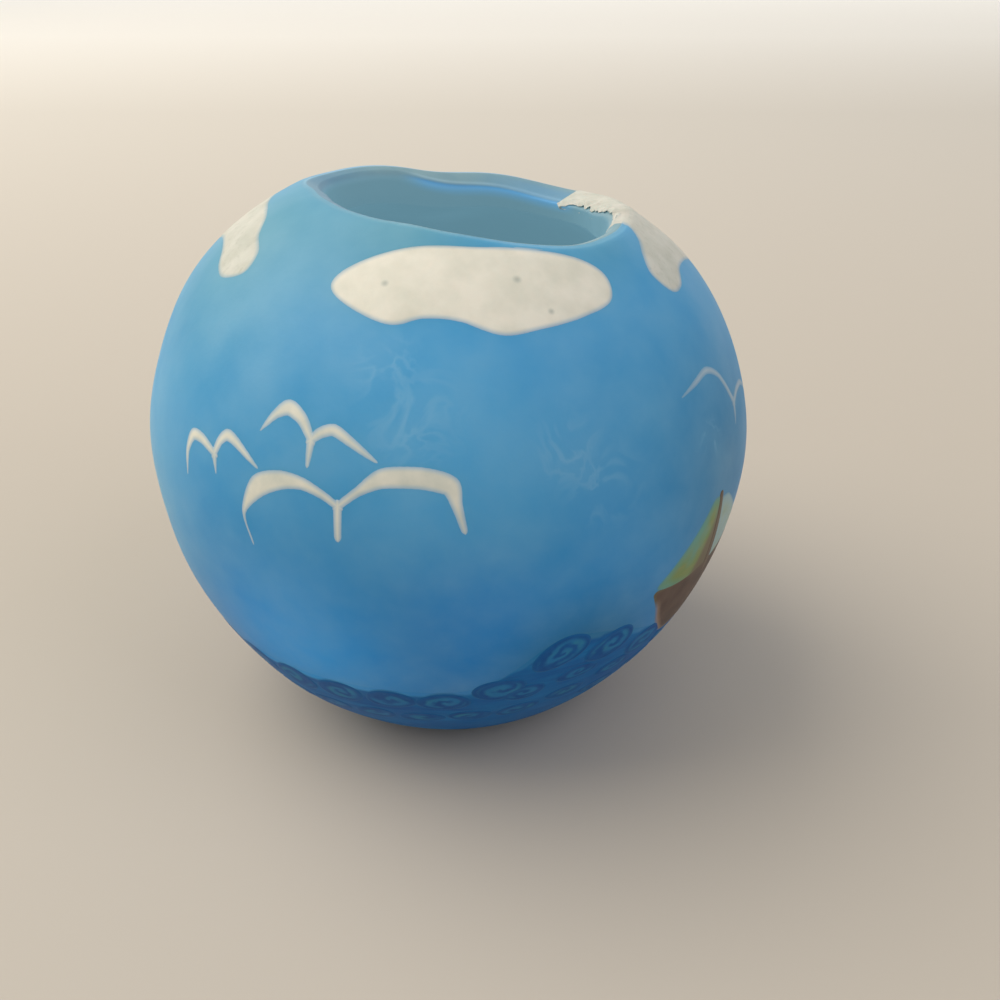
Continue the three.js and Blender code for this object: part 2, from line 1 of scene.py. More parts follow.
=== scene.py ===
"""A hollow wax globe lantern candle with an inlaid seaside picture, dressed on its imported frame.

Shapes are worked out in millimetres and degrees. Azimuth 0 is the front and turns to the right, and the
polar angle is measured down from straight up at the globe's centre, as in the frame.
"""
import bpy
import numpy as np
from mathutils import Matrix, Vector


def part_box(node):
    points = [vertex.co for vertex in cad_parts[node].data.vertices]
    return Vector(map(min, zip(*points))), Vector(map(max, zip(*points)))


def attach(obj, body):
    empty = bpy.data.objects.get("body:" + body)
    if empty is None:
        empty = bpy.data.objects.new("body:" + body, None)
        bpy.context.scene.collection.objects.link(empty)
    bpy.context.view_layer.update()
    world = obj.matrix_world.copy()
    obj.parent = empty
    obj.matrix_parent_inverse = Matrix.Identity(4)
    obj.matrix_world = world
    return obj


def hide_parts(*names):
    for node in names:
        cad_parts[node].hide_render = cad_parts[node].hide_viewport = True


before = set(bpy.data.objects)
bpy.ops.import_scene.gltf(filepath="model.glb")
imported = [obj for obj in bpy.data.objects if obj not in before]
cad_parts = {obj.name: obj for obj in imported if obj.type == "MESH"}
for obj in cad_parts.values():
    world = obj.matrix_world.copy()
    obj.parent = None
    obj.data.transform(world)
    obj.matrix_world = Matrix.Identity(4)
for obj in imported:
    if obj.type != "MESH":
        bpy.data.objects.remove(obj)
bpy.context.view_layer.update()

# The core. A hollow ball of pale blue candle wax, cast with a thick wall and a flat foot, and pressed a
# little out of round by hand. It shows at the lip and inside: satin and slightly cloudy, with a painted
# glow inside that stands in for the light coming through the wall.
in_metres = 0.001
in_millimetres = 1000
globe_radius = 55.0
foot_radius = 25.0
squat_share = 0.0048
pear_share = -0.0368
barrel_share = 0.0022
press_marks = (  # azimuth, polar angle, rise and spread
    (-82, 50, 0.4, 14),
    (-76, 65, -0.5, 10),
    (-70, 94, -0.5, 10),
    (-32, 126, 0.4, 11),
    (30, 121, -0.4, 12),
    (78, 86, 0.5, 12),
    (105, 39, -0.9, 10),
    (188, 33, -2.3, 11),
)
wall_thickness = 7.5
skin_thickness = 1.8
seam = 0.3
under_skin = skin_thickness + seam
skin_foot_height = 0.6


def direction(azimuth, polar):
    """Unit vector from the globe's centre: sin(polar) sin(azimuth) to the right, sin(polar) cos(azimuth) to
    the front and cos(polar) up."""
    a, p = np.radians(azimuth), np.radians(polar)
    return np.stack(np.broadcast_arrays(np.sin(p) * np.sin(a), -np.sin(p) * np.cos(a), np.cos(p)), -1)


def outside_radius(azimuth, polar):
    """A ball times three Legendre terms in cos(polar), plus rise * exp(-(angle away / spread)^2) for each
    press mark."""
    c = np.cos(np.radians(polar))
    squat = squat_share * (3 * c**2 - 1) / 2
    pear = pear_share * (5 * c**3 - 3 * c) / 2
    barrel = barrel_share * (35 * c**4 - 30 * c**2 + 3) / 8
    radius = globe_radius * (1 + squat + pear + barrel)
    towards = direction(azimuth, polar)
    for mark_azimuth, mark_polar, rise, spread in press_marks:
        cosine = np.clip(towards @ direction(mark_azimuth, mark_polar), -1, 1)
        radius = radius + rise * np.exp(-((np.degrees(np.arccos(cosine)) / spread) ** 2))
    return radius


near_foot_polar = 145.0
rounds_to_settle = 20
foot_polar = near_foot_polar
for _ in range(rounds_to_settle):  # settles on the angle where the outside has the foot's radius
    foot_polar = 180 - np.degrees(np.arcsin(foot_radius / outside_radius(180.0, foot_polar)))
centre_height = -float(outside_radius(180.0, foot_polar) * np.cos(np.radians(foot_polar)))
centre = np.array([0, 0, centre_height])


def on_globe(azimuth, polar, depth=0.0):
    """The centre plus the direction times what a depth leaves of the outside radius."""
    return direction(azimuth, polar) * (outside_radius(azimuth, polar) - depth)[..., None] + centre


def polar_at_height(azimuth, height, depth=0.0):
    """The polar angle in the lower half where the surface at this depth passes a height: the arc cosine of
    the height above the centre over the radius there, found again until it settles."""
    polar = np.full(np.shape(azimuth), near_foot_polar)
    for _ in range(rounds_to_settle):
        ratio = (height - centre_height) / (outside_radius(azimuth, polar) - depth)
        polar = np.degrees(np.arccos(np.clip(ratio, -1, 1)))
    return polar


# The mouth leans down to the right and the back, and its cut edge wanders as a hand-cut one does.
mouth_radius = 28.7
lip_opening = np.degrees(np.arcsin(mouth_radius / globe_radius))
lip_waves = (  # times round, height in degrees, start
    (1, 6.6, 110),
    (2, 0.5, -115),
    (3, 1.9, 62),
    (4, 1.4, -151),
    (11, 0.06, 75),
    (17, 0.05, 10),
)
lip_widths = (  # azimuth and width
    (0, 1.3),
    (60, 1.0),
    (84, 1.3),
    (104, 3.0),
    (140, 3.9),
    (165, 2.9),
    (186, 2.7),
    (203, 1.2),
    (240, 1.2),
    (262, 1.8),
    (300, 1.6),
)
lip_edge_depth = 0.5
lip_rounding = 0.9
lip_slope = 1.1


def turn(azimuth, count, start):
    """cos(count * azimuth - start), which comes round count times."""
    return np.cos(np.radians(count * azimuth - start))


def lip_polar(azimuth):
    """The polar angle of the lip's outer edge: an opening and waves, of which the first is its lean."""
    return lip_opening + sum(height * turn(azimuth, count, start) for count, height, start in lip_waves)


def lip_width(azimuth):
    """Straight lines between the widths, rounded off by a mean over 16 degrees."""
    at, width = np.array(lip_widths).T
    return sum(np.interp(azimuth + shift, at, width, period=360) for shift in (-8, -4, 0, 4, 8)) / 5


def lip_depth(inward):
    """How deep the lip's top lies: edge depth * exp(-(inward / rounding)^2) outside its edge, which rounds
    it off, and edge depth + slope * inward on the way into the mouth."""
    rounded = lip_edge_depth * np.exp(-((np.minimum(inward, 0) / lip_rounding) ** 2))
    return rounded + lip_slope * np.maximum(inward, 0)


def by_lip(azimuth, inward, depth):
    """A point so far inward of the lip's outer edge, measured along the globe, and so deep."""
    return on_globe(azimuth, lip_polar(azimuth) - np.degrees(inward / globe_radius), depth)


def smoothstep(value, low, high):
    """0 up to low, 1 from high on, and in between 3 t^2 - 2 t^3 of the share t of the way."""
    t = np.clip((value - low) / (high - low), 0, 1)
    return t * t * (3 - 2 * t)


def through(knots, steps, closed=False, slack=1.0):
    """A Catmull-Rom curve through rows of knots: each span is the cubic that leaves one knot and reaches
    the next along the line between its neighbours. Less slack makes the bends sharper."""
    knots = np.asarray(knots, float)
    if closed:
        around_knots = np.concatenate([knots[-1:], knots, knots[:2]])
    else:
        around_knots = np.concatenate([2 * knots[:1] - knots[1:2], knots, 2 * knots[-1:] - knots[-2:-1]])
    p0, p1, p2, p3 = (around_knots[k : len(around_knots) - 3 + k, None] for k in range(4))
    t = (np.arange(steps) / steps).reshape((1, steps) + (1,) * (knots.ndim - 1))
    leave, reach = (p2 - p0) * slack / 2, (p3 - p1) * slack / 2
    turn_in = 3 * (p2 - p1) - 2 * leave - reach
    spans = p1 + leave * t + turn_in * t**2 + (leave + reach - 2 * (p2 - p1)) * t**3
    line = spans.reshape((-1,) + knots.shape[1:])
    return line if closed else np.concatenate([line, knots[-1:]])


def grid_faces(rows, around, loop):
    """Faces that join each row of a grid to the next, all the way round. With loop the last row joins the
    first, and otherwise the first and last rows are one point each."""
    i = np.arange(around)
    j = (i + 1) % around
    if loop:
        here = np.arange(rows)[:, None] * around
        after = (np.arange(rows)[:, None] + 1) % rows * around
        return [np.stack([here + i, here + j, after + j, after + i], -1).reshape(-1, 4)]
    here = 1 + np.arange(rows - 3)[:, None] * around
    bands = np.stack([here + i, here + j, here + around + j, here + around + i], -1).reshape(-1, 4)
    last_ring = 1 + (rows - 3) * around
    first_cap = np.stack([0 * i, 1 + j, 1 + i], -1)
    last_cap = np.stack([0 * i + last_ring + around, last_ring + i, last_ring + j], -1)
    return [bands, first_cap, last_cap]


def add_piece(name, grids, material, node=None, body="globe", loop=False, sharp=35):
    """One object from closed grids of points in millimetres, with faces outward by the sign of the volume
    that they enclose. Columns after x, y and z go into the attribute "drawing"."""
    points, faces, start = [], [], 0
    for grid in grids:
        grid = np.asarray(grid, float)
        rows, around, width = grid.shape
        flat = grid.reshape(-1, width)
        if not loop:
            flat = np.concatenate([grid[:1].mean(1), grid[1:-1].reshape(-1, width), grid[-1:].mean(1)])
        made = grid_faces(rows, around, loop)
        quads = made[0]
        a, b, c, d = (flat[quads[:, k], :3] - centre for k in range(4))
        volume = np.einsum("ij,ij", a, np.cross(b, c)) + np.einsum("ij,ij", a, np.cross(c, d))
        step = 1 if volume > 0 else -1
        faces += [corner for part in made for corner in (part[:, ::step] + start).tolist()]
        points.append(flat)
        start += len(flat)
    points = np.concatenate(points)
    mesh = bpy.data.meshes.new(name)
    mesh.from_pydata((points[:, :3] * in_metres).tolist(), [], faces)
    if points.shape[1] > 3:
        drawing = mesh.attributes.new("drawing", "FLOAT_VECTOR", "POINT")
        drawing.data.foreach_set("vector", points[:, 3:6].astype(np.float32).ravel())
    mesh.shade_smooth()
    mesh.set_sharp_from_angle(angle=np.radians(sharp))
    mesh.materials.append(material)
    piece = bpy.data.objects.new(name, mesh)
    bpy.context.scene.collection.objects.link(piece)
    if node:
        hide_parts(node)
    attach(piece, body)
    return piece


def linear(text):
    """An sRGB hex colour as linear red, green, blue and alpha."""
    srgb = np.array([int(text[k : k + 2], 16) / 255 for k in (1, 3, 5)])
    rgb = np.where(srgb <= 0.04045, srgb / 12.92, ((srgb + 0.055) / 1.055) ** 2.4)
    return (*rgb.tolist(), 1.0)


def add_node(tree, kind, inputs=(), output=0, **settings):
    """Adds a shader node of a kind, sets its settings, links each input that is a socket or else sets its
    value, and returns one of its outputs. A hex colour is turned to linear. A Mix node's colours are its
    inputs 6 and 7 and its output 2."""
    made = tree.nodes.new("ShaderNode" + kind)
    for setting, value in settings.items():
        setattr(made, setting, value)
    for socket, value in dict(inputs).items():
        if isinstance(value, bpy.types.NodeSocket):
            tree.links.new(value, made.inputs[socket])
        else:
            made.inputs[socket].default_value = linear(value) if isinstance(value, str) else value
    return made.outputs[output]


def new_material(name):
    """A material, its node tree, its shader and the socket that gives the place on the object."""
    material = bpy.data.materials.new(name)
    material.use_nodes = True
    tree = material.node_tree
    return material, tree, tree.nodes["Principled BSDF"], add_node(tree, "TexCoord", output="Object")


def speckle(tree, place, size, detail=2.0, low=0.3, high=0.7):
    """Noise with features of a size in millimetres, spread from 0 to 1."""
    noise = add_node(tree, "TexNoise", {"Vector": place, "Scale": in_millimetres / size, "Detail": detail})
    ends = {"Value": noise, "From Min": low, "From Max": high}
    return add_node(tree, "MapRange", ends)


def candle_wax(name, colour, roughness=0.45, swell=0.05, grain=0.006, soft=0.25, sheen=0.3):
    """Candle wax, cast or pressed and rubbed smooth by hand: a soft sheen, light that sinks in a little,
    shallow swells 7 mm apart and a fine grain. colour adds its nodes and returns their socket."""
    material, tree, shader, place = new_material(name)
    swells = add_node(tree, "Bump", {
        "Height": speckle(tree, place, 7, 1), "Distance": swell * in_metres, "Strength": 1.0})
    grains = add_node(tree, "Bump", {
        "Height": speckle(tree, place, 0.7, 3), "Distance": grain * in_metres, "Strength": 1.0,
        "Normal": swells})
    rubbed = add_node(tree, "MapRange", {
        "Value": speckle(tree, place, 12, 4), "To Min": roughness - 0.05, "To Max": roughness + 0.07})
    tree.links.new(colour(tree, place), shader.inputs["Base Color"])
    tree.links.new(rubbed, shader.inputs["Roughness"])
    tree.links.new(grains, shader.inputs["Normal"])
    shader.inputs["IOR"].default_value = 1.44
    shader.inputs["Specular IOR Level"].default_value = sheen
    shader.inputs["Subsurface Weight"].default_value = soft
    shader.inputs["Subsurface Radius"].default_value = (0.6, 0.9, 1.0)
    shader.inputs["Subsurface Scale"].default_value = 0.0025
    return material


def from_drawing(tree):
    """The three numbers of the attribute "drawing"."""
    drawing = add_node(tree, "Attribute", output="Vector", attribute_name="drawing")
    return add_node(tree, "SeparateXYZ", {0: drawing}, slice(3))


def core_colour(tree, place):
    """Pale blue on the lip, cloudy in patches of 9 mm, and darker inside, where a painted glow stands in for
    the light that comes through the wall. Dye from the skin has been rubbed over the back lip's top near
    its inner edge and, more thinly, over the left lip. Just past that edge a thin blue line of painted glow
    stands in for light through the thin edge, with a thin pale line of painted highlight above it. The
    numbers of the drawing are the shares of that blue, of the inside, and of the pale highlight line."""
    blue, inside, pale = from_drawing(tree)
    cloudy = add_node(tree, "Mix", {
        0: speckle(tree, place, 9, 4), 6: "#7096a6", 7: "#82a5b0"}, 2, data_type="RGBA")
    deep = add_node(tree, "Mix", {0: inside, 6: cloudy, 7: "#4e6770"}, 2, data_type="RGBA")
    lined = add_node(tree, "Mix", {0: pale, 6: deep, 7: "#a5c8d8"}, 2, data_type="RGBA")
    return add_node(tree, "Mix", {0: blue, 6: lined, 7: "#3789c4"}, 2, data_type="RGBA")


around = np.arange(320) * 360 / 320
skin_foot = polar_at_height(around, skin_foot_height)
band_top = skin_foot + np.degrees(seam / globe_radius)
foot_edge = polar_at_height(around, 0.0)
broad = lip_width(around)

cup_low, cup_high = (np.array(corner) * in_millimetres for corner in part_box("tealight_cup"))
seat = (cup_low + cup_high) / 2
seat_height = cup_low[2] - seam
seat_radius = (cup_high[0] - cup_low[0]) / 2 + 0.6
seat_depth = 1.5
floor_height = seat_height + seat_depth
floor_fillet = 3.0


def level_ring(middle, radius, height):
    """A level ring: sine and cosine of the azimuth times a radius, which may change round the ring."""
    a = np.radians(around)
    x = middle[0] + radius * np.sin(a)
    y = middle[1] - radius * np.cos(a)
    return np.stack([x, y, np.full(len(around), float(height))], -1)


foot_shares = np.array([0, 0.3, 0.6, 0.85, 0.97])
foot_points = on_globe(around, foot_edge)
foot_rows = foot_shares[:, None, None] * foot_points * [1, 1, 0]
band_rows = [
    foot_points * [0.995, 0.995, 0],
    on_globe(around, (foot_edge + band_top) / 2),
    on_globe(around, band_top, 0.08)]
hidden_rows = [
    on_globe(around, band_top + (lip_polar(around) - band_top) * share, under_skin)
    for share in [0, *np.linspace(0.05, 0.97, 24)]]
hollow_inset = 2.4
lip_profile = (  # inward, share of the lip's width that is added to it, and how far it has sunk to the wall
    (-0.9, 0, 0.25),
    (-0.8, 0, 0.06),
    (-0.3, 0, 0.01),
    (0.1, 0, 0.003),
    (0.1, 0.35, 0),
    (0, 0.65, 0),
    (-0.15, 0.9, 0.01),
    (0, 1, 0.1),
    (0, 1, 0.25),
    (-0.5, 1, 0.5),
    (-1.4, 1, 0.8),
    (-hollow_inset, 1, 1),
)
inner_edge_row = 7 * 4


def lip_row(inward, share, sunk):
    """A row round the lip, on its sloping top and then down towards the inside of the wall."""
    reach = inward + share * broad
    top = lip_depth(reach) + 0.03
    return by_lip(around, reach, top + (wall_thickness - top) * sunk)


lip_rows = through([lip_row(*knot) for knot in lip_profile], 4)
fillet_polar = polar_at_height(around, floor_height + floor_fillet, wall_thickness)
hollow_top = lip_polar(around) - np.degrees((broad - hollow_inset) / globe_radius)
hollow_rows = [
    on_globe(around, hollow_top + (fillet_polar - hollow_top) * share, wall_thickness)
    for share in np.linspace(0.02, 1, 70)]
wall_foot = hollow_rows[-1]
to_axis = wall_foot * [1, 1, 0] / np.linalg.norm(wall_foot[:, :2], axis=1)[:, None]
fillet_rows = [
    wall_foot - to_axis * floor_fillet * (1 - np.cos(angle)) - np.array([0, 0, floor_fillet * np.sin(angle)])
    for angle in np.radians([18, 36, 54, 72, 90])]
seat_rows = [
    level_ring(seat, seat_radius + 0.5, floor_height),
    level_ring(seat, seat_radius + 0.1, floor_height - 0.1),
    level_ring(seat, seat_radius, floor_height - 0.5),
    level_ring(seat, seat_radius, seat_height + 0.3),
    level_ring(seat, seat_radius - 0.3, seat_height),
    level_ring(seat, seat_radius / 2, seat_height),
    level_ring(seat, 0 * around, seat_height),
]
core_rows = np.array([
    *foot_rows, *band_rows, *hidden_rows, *lip_rows, *hollow_rows, *fillet_rows, *seat_rows])
steps_along = np.linalg.norm(np.diff(core_rows, axis=0), axis=-1)
along = np.concatenate([np.zeros((1, len(around))), np.cumsum(steps_along, axis=0)])
rows_below_lip = len(foot_rows) + len(band_rows) + len(hidden_rows)
past_edge = along - along[rows_below_lip + inner_edge_row]
at_back = smoothstep(around, 126, 136) * (1 - smoothstep(around, 190, 207))
# Painted glow: a thin blue line just past the back lip's inner edge stands in for light through the thin wax
# there.
painted_glow_line = smoothstep(past_edge, -0.7, 0.1) * (1 - smoothstep(past_edge, 0.2, 2.2))
blue_top = 0.4 * (1 - smoothstep(around, 148, 176)) * smoothstep(past_edge, -6, -3)
at_left = smoothstep(around, 205, 250) * (1 - smoothstep(around, 335, 358))
dyed_left = 0.3 * at_left * smoothstep(past_edge, -7, -5) * (1 - smoothstep(past_edge, -0.6, 1.5))
# The drawing's shares: the blue (dye, and the painted glow line at the back), the inside (darker base and
# painted glow), and a thin pale line at the back lip's inner edge, which is a painted highlight.
core_drawing = np.stack([
    np.maximum(0.85 * at_back * np.maximum(painted_glow_line, blue_top * (past_edge < 0)), dyed_left),
    smoothstep(past_edge, -0.6, 0.8),
    0.45 * at_back * np.exp(-(((past_edge + 0.9) / 0.4) ** 2))], -1)
core_wax = candle_wax("cast candle wax, pale blue", core_colour)
core_tree = core_wax.node_tree
core_shader = core_tree.nodes["Principled BSDF"]
# Painted glow: a weak emission on the inside of the core stands in for the daylight that comes through the
# wax wall.
glow = add_node(core_tree, "Mix", {
    0: from_drawing(core_tree)[1], 6: "#000000", 7: "#7fb0c2"}, 2, data_type="RGBA")
core_tree.links.new(glow, core_shader.inputs["Emission Color"])
core_shader.inputs["Emission Strength"].default_value = 0.46
add_piece("core_wall", [np.concatenate([core_rows, core_drawing], -1)], core_wax, "core_shell")

# The sky. A sheet of blue candle wax, pressed over the upper part of the core and rubbed smooth, with
# faint paler wisps where the dye was stirred in badly. Its edge at the lip is rubbed, and paler at the back.
sea_polar = 114.5
swell_crests, swell_first_crest = 3, 22
swell_height, swell_steep_side, swell_long_side = 12.5, 10, 24
painted_light_and_shade_patches = (  # azimuth, polar angle, reach, colour and share of patches of painted light and shade
    (-62, 36, 38, "#5a97a5", 0.7),
    (-8, 29, 24, "#5a97a5", 0.7),
    (48, 33, 16, "#5a97a5", 0.5),
    (-66, 88, 30, "#66abd2", 0.8),
    (5, 64, 26, "#54a8da", 0.7),
    (60, 82, 32, "#367ba3", 0.8),
    (-25, 108, 26, "#2ca6fa", 0.8),
    (6, 97, 20, "#0682d2", 0.6),
    (27, 109, 22, "#1c6690", 0.8),
)
wisps = (  # azimuth, polar angle, reach
    (-4, 61, 11),
    (-8, 55, 8),
    (22, 68, 8),
    (28, 74, 9),
    (54, 74.5, 5),
)
wisp_share = 0.22
haze_share = 0.14
rubbed_share = 0.6


def sea_edge(azimuth):
    """The polar angle of the sea's edge: level, less height * exp(-(angle from the crest / side)^2), with a
    steep side and a long one."""
    gap = 360 / swell_crests
    from_crest = (azimuth - swell_first_crest + gap / 2) % gap - gap / 2
    side = np.where(from_crest < 0, swell_steep_side, swell_long_side)
    return sea_polar - swell_height * np.exp(-((from_crest / side) ** 2))


def nearness(tree, place, azimuth, polar, reach):
    """1 at a spot on the globe, falling smoothly with the distance to 0 at a reach in millimetres."""
    spot = tuple(on_globe(np.array(float(azimuth)), np.array(float(polar))) * in_metres)
    away = add_node(tree, "VectorMath", {0: place, 1: spot}, "Value", operation="DISTANCE")
    return add_node(tree, "MapRange", {
        "Value": away, "From Min": reach * in_metres, "From Max": 0.0},
        interpolation_type="SMOOTHSTEP")


def sky_colour(tree, place):
    """Sky blue, deeper towards the foot as painted shade, that drifts in patches of 35 mm and of 9 mm.
    Larger patches paint light and shade onto it: paler and greyer at the top and towards the lamp on the
    left, deeper towards the right and the bottom. Faint wisps lie along the lines where a noise of 7 mm
    passes its middle value, near a few places."""
    height = add_node(tree, "SeparateXYZ", {0: place}, "Z")
    # Painted shade: the blue deepens towards the foot.
    low = add_node(tree, "MapRange", {
        "Value": height, "From Min": 0.075, "From Max": 0.02}, interpolation_type="SMOOTHSTEP")
    upper = add_node(tree, "Mix", {
        0: speckle(tree, place, 35, 2), 6: "#3a95cc", 7: "#4a9dce"}, 2, data_type="RGBA")
    blue = add_node(tree, "Mix", {0: low, 6: upper, 7: "#127ecb"}, 2, data_type="RGBA")
    # Painted light and shade: each patch lightens or deepens the blue where the light falls more or less.
    for azimuth, polar, reach, patch_colour, patch_share in painted_light_and_shade_patches:
        near = nearness(tree, place, azimuth, polar, reach)
        painted_patch_share = add_node(tree, "Math", {0: near, 1: patch_share}, operation="MULTIPLY")
        blue = add_node(tree, "Mix", {0: painted_patch_share, 6: blue, 7: patch_colour}, 2, data_type="RGBA")
    clouded = add_node(tree, "Math", {0: speckle(tree, place, 9, 5), 1: haze_share}, operation="MULTIPLY")
    blue = add_node(tree, "Mix", {0: clouded, 6: blue, 7: "#a4cfe0"}, 2, data_type="RGBA")
    near_wisps = 0.0
    for azimuth, polar, reach in wisps:
        near = nearness(tree, place, azimuth, polar, reach)
        near_wisps = add_node(tree, "Math", {0: near, 1: near_wisps}, operation="MAXIMUM")
    swirl = add_node(tree, "TexNoise", {
        "Vector": place, "Scale": 150.0, "Detail": 3.0, "Distortion": 0.9})
    off_middle = add_node(tree, "Math", {0: swirl, 1: 0.5}, operation="SUBTRACT")
    from_middle = add_node(tree, "Math", {0: off_middle}, operation="ABSOLUTE")
    lines = add_node(tree, "MapRange", {
        "Value": from_middle, "From Min": 0.09, "From Max": 0.0}, interpolation_type="SMOOTHSTEP")
    wisp_lines = add_node(tree, "Math", {0: lines, 1: near_wisps}, operation="MULTIPLY")
    share = add_node(tree, "Math", {0: wisp_lines, 1: wisp_share}, operation="MULTIPLY")
    return add_node(tree, "Mix", {0: share, 6: blue, 7: "#9ccbe2"}, 2, data_type="RGBA")


def sky_skin_colour(tree, place):
    """The sky's blue, paler at the rubbed edge of the lip. The first number of the drawing is how near
    that edge is."""
    rubbed = add_node(tree, "Math", {0: from_drawing(tree)[0], 1: rubbed_share}, operation="MULTIPLY")
    return add_node(tree, "Mix", {0: rubbed, 6: sky_colour(tree, place), 7: "#a9ccda"}, 2, data_type="RGBA")


def skin_rows(first, last, steps, steps_back=14):
    """Rows of skin in even steps of polar angle, along the outside and then back along the inside."""
    shares = np.linspace(0, 1, steps)[:, None]
    back_shares = np.linspace(0, 1, steps_back)[:, None]
    outside = on_globe(around[None], first + (last - first) * shares)
    back = on_globe(around[None], last + (first - last) * back_shares, skin_thickness)
    return outside, back


lip_edge = (  # inward, and depth below the lip's top, from the skin's cut edge out to the globe
    (-0.02, 0.7),
    (0, 0.25),
    (-0.15, 0),
    (-0.5, 0),
    (-1.1, 0),
    (-1.8, 0),
)
edge_rows = through([by_lip(around, inward, lip_depth(inward) + below) for inward, below in lip_edge], 3)
sky_top = lip_polar(around) + np.degrees(2.6 / globe_radius)
sky_outside, sky_back = skin_rows(sky_top, sea_edge(around), 110)
sky_back[-1] = by_lip(around, 0, skin_thickness)
sky_grid = np.concatenate([edge_rows, sky_outside, sky_back])
sky_drawing = np.zeros(sky_grid.shape)
from_front = np.abs((around + 180) % 360 - 180)
rubbed_pale = 0.25 + 0.75 * smoothstep(from_front, 70, 130)
rubbed_row, rows_rubbed = 7, 4.0
near_rubbed_row = np.exp(-(((np.arange(len(edge_rows)) - rubbed_row) / rows_rubbed) ** 2))[:, None]
sky_drawing[: len(edge_rows), :, 0] = near_rubbed_row * rubbed_pale
sky_wax = candle_wax("pressed candle wax, sky blue", sky_skin_colour)
add_piece(
    "sky_wax_skin", [np.concatenate([sky_grid, sky_drawing], -1)], sky_wax, "sky_skin", loop=True)


# The sea. A strip of deeper blue wax pressed on below the sky, streaked lengthways, whose edge swells up
# into crests. It is rubbed into the sky along the edge and stops just above the foot.
def sea_colour(tree, place):
    """Deep blue with long level streaks 2 mm high, and sky blue where the sky has been rubbed down over
    it. The first number of the drawing is the distance below the sky's visible edge."""
    level = add_node(tree, "Mapping", {"Vector": place, "Scale": (0.16, 0.16, 1.0)})
    streaked = add_node(tree, "Mix", {
        0: speckle(tree, level, 2, 3), 6: "#0b559c", 7: "#1872b2"}, 2, data_type="RGBA")
    depth = add_node(tree, "MapRange", {
        "Value": from_drawing(tree)[0], "From Min": -0.3, "From Max": 0.9}, interpolation_type="SMOOTHSTEP")
    return add_node(tree, "Mix", {0: depth, 6: sky_colour(tree, place), 7: streaked}, 2, data_type="RGBA")


sea_outside, sea_back = skin_rows(sea_edge(around), skin_foot, 50)
sea_grid = np.concatenate([sea_outside, sea_back])
sea_drawing = np.zeros(sea_grid.shape)
sea_span = np.radians(skin_foot - sea_edge(around)) * globe_radius
wave_count = sum(1 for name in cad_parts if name.startswith("wave_slice_"))
wave_pitch = 2 * np.pi * globe_radius * np.sin(np.radians(sea_polar)) / wave_count
from_wave = ((around - swell_first_crest) * wave_count / 360 + 0.5) % 1 - 0.5
scallop_radius, scallop_least, scallop_rise = 4.4, 3.0, 4.3
arc = np.maximum(scallop_radius**2 - (from_wave * wave_pitch) ** 2, scallop_least**2)
scallop = scallop_rise - np.sqrt(arc)
sea_drawing[: len(sea_outside), :, 0] = np.linspace(0, 1, len(sea_outside))[:, None] * sea_span - scallop
sea_wax = candle_wax("pressed candle wax, deep blue", sea_colour, sheen=0.12)
add_piece(
    "sea_wax_skin", [np.concatenate([sea_grid, sea_drawing], -1)], sea_wax, "sea_skin", loop=True)


# The clouds. Ivory candle wax, undyed, cut out and pressed into the skin until it lies flush, with edges
# that have smeared into the blue. The right cloud is pressed over the lip, where it has crumbled.
def lay_on_globe(middle, drawing):
    """Azimuth and polar angle of points drawn round a middle: x runs along the surface and y up it."""
    polar = middle[1] - np.degrees(drawing[..., 1] / globe_radius)
    azimuth = middle[0] + np.degrees(drawing[..., 0] / (globe_radius * np.sin(np.radians(polar))))
    return azimuth, polar


def grown(outline, by):
    """An outline moved out by a distance, square to the chord between each point's neighbours."""
    chord = np.roll(outline, -1, 0) - np.roll(outline, 1, 0)
    out = np.stack([chord[:, 1], -chord[:, 0]], -1) / np.linalg.norm(chord, axis=1)[:, None]
    x, y = outline.T
    clockwise = np.sum(x * np.roll(y, -1) - y * np.roll(x, -1)) < 0
    return outline + (-by if clockwise else by) * out


crumb_cells = 32
crumb_table = np.random.default_rng(11).random((crumb_cells, crumb_cells, crumb_cells))


def crumbs(points, size):
    """Smooth random lumps of a size: a table of random heights, blended between its eight nearest."""
    cell = points / size
    low = np.floor(cell).astype(int)
    t = cell - low
    t = t * t * (3 - 2 * t)
    height = 0.0
    for corner in np.ndindex(2, 2, 2):
        share = np.prod(np.where(corner, t, 1 - t), axis=-1)
        x, y, z = ((low[..., k] + corner[k]) % crumb_cells for k in range(3))
        height = height + share * crumb_table[x, y, z]
    return height


edge_sunk = 0.03
rise_on_lip = 0.22
inlay_thickness = 1.2
most_hanging = 1.2


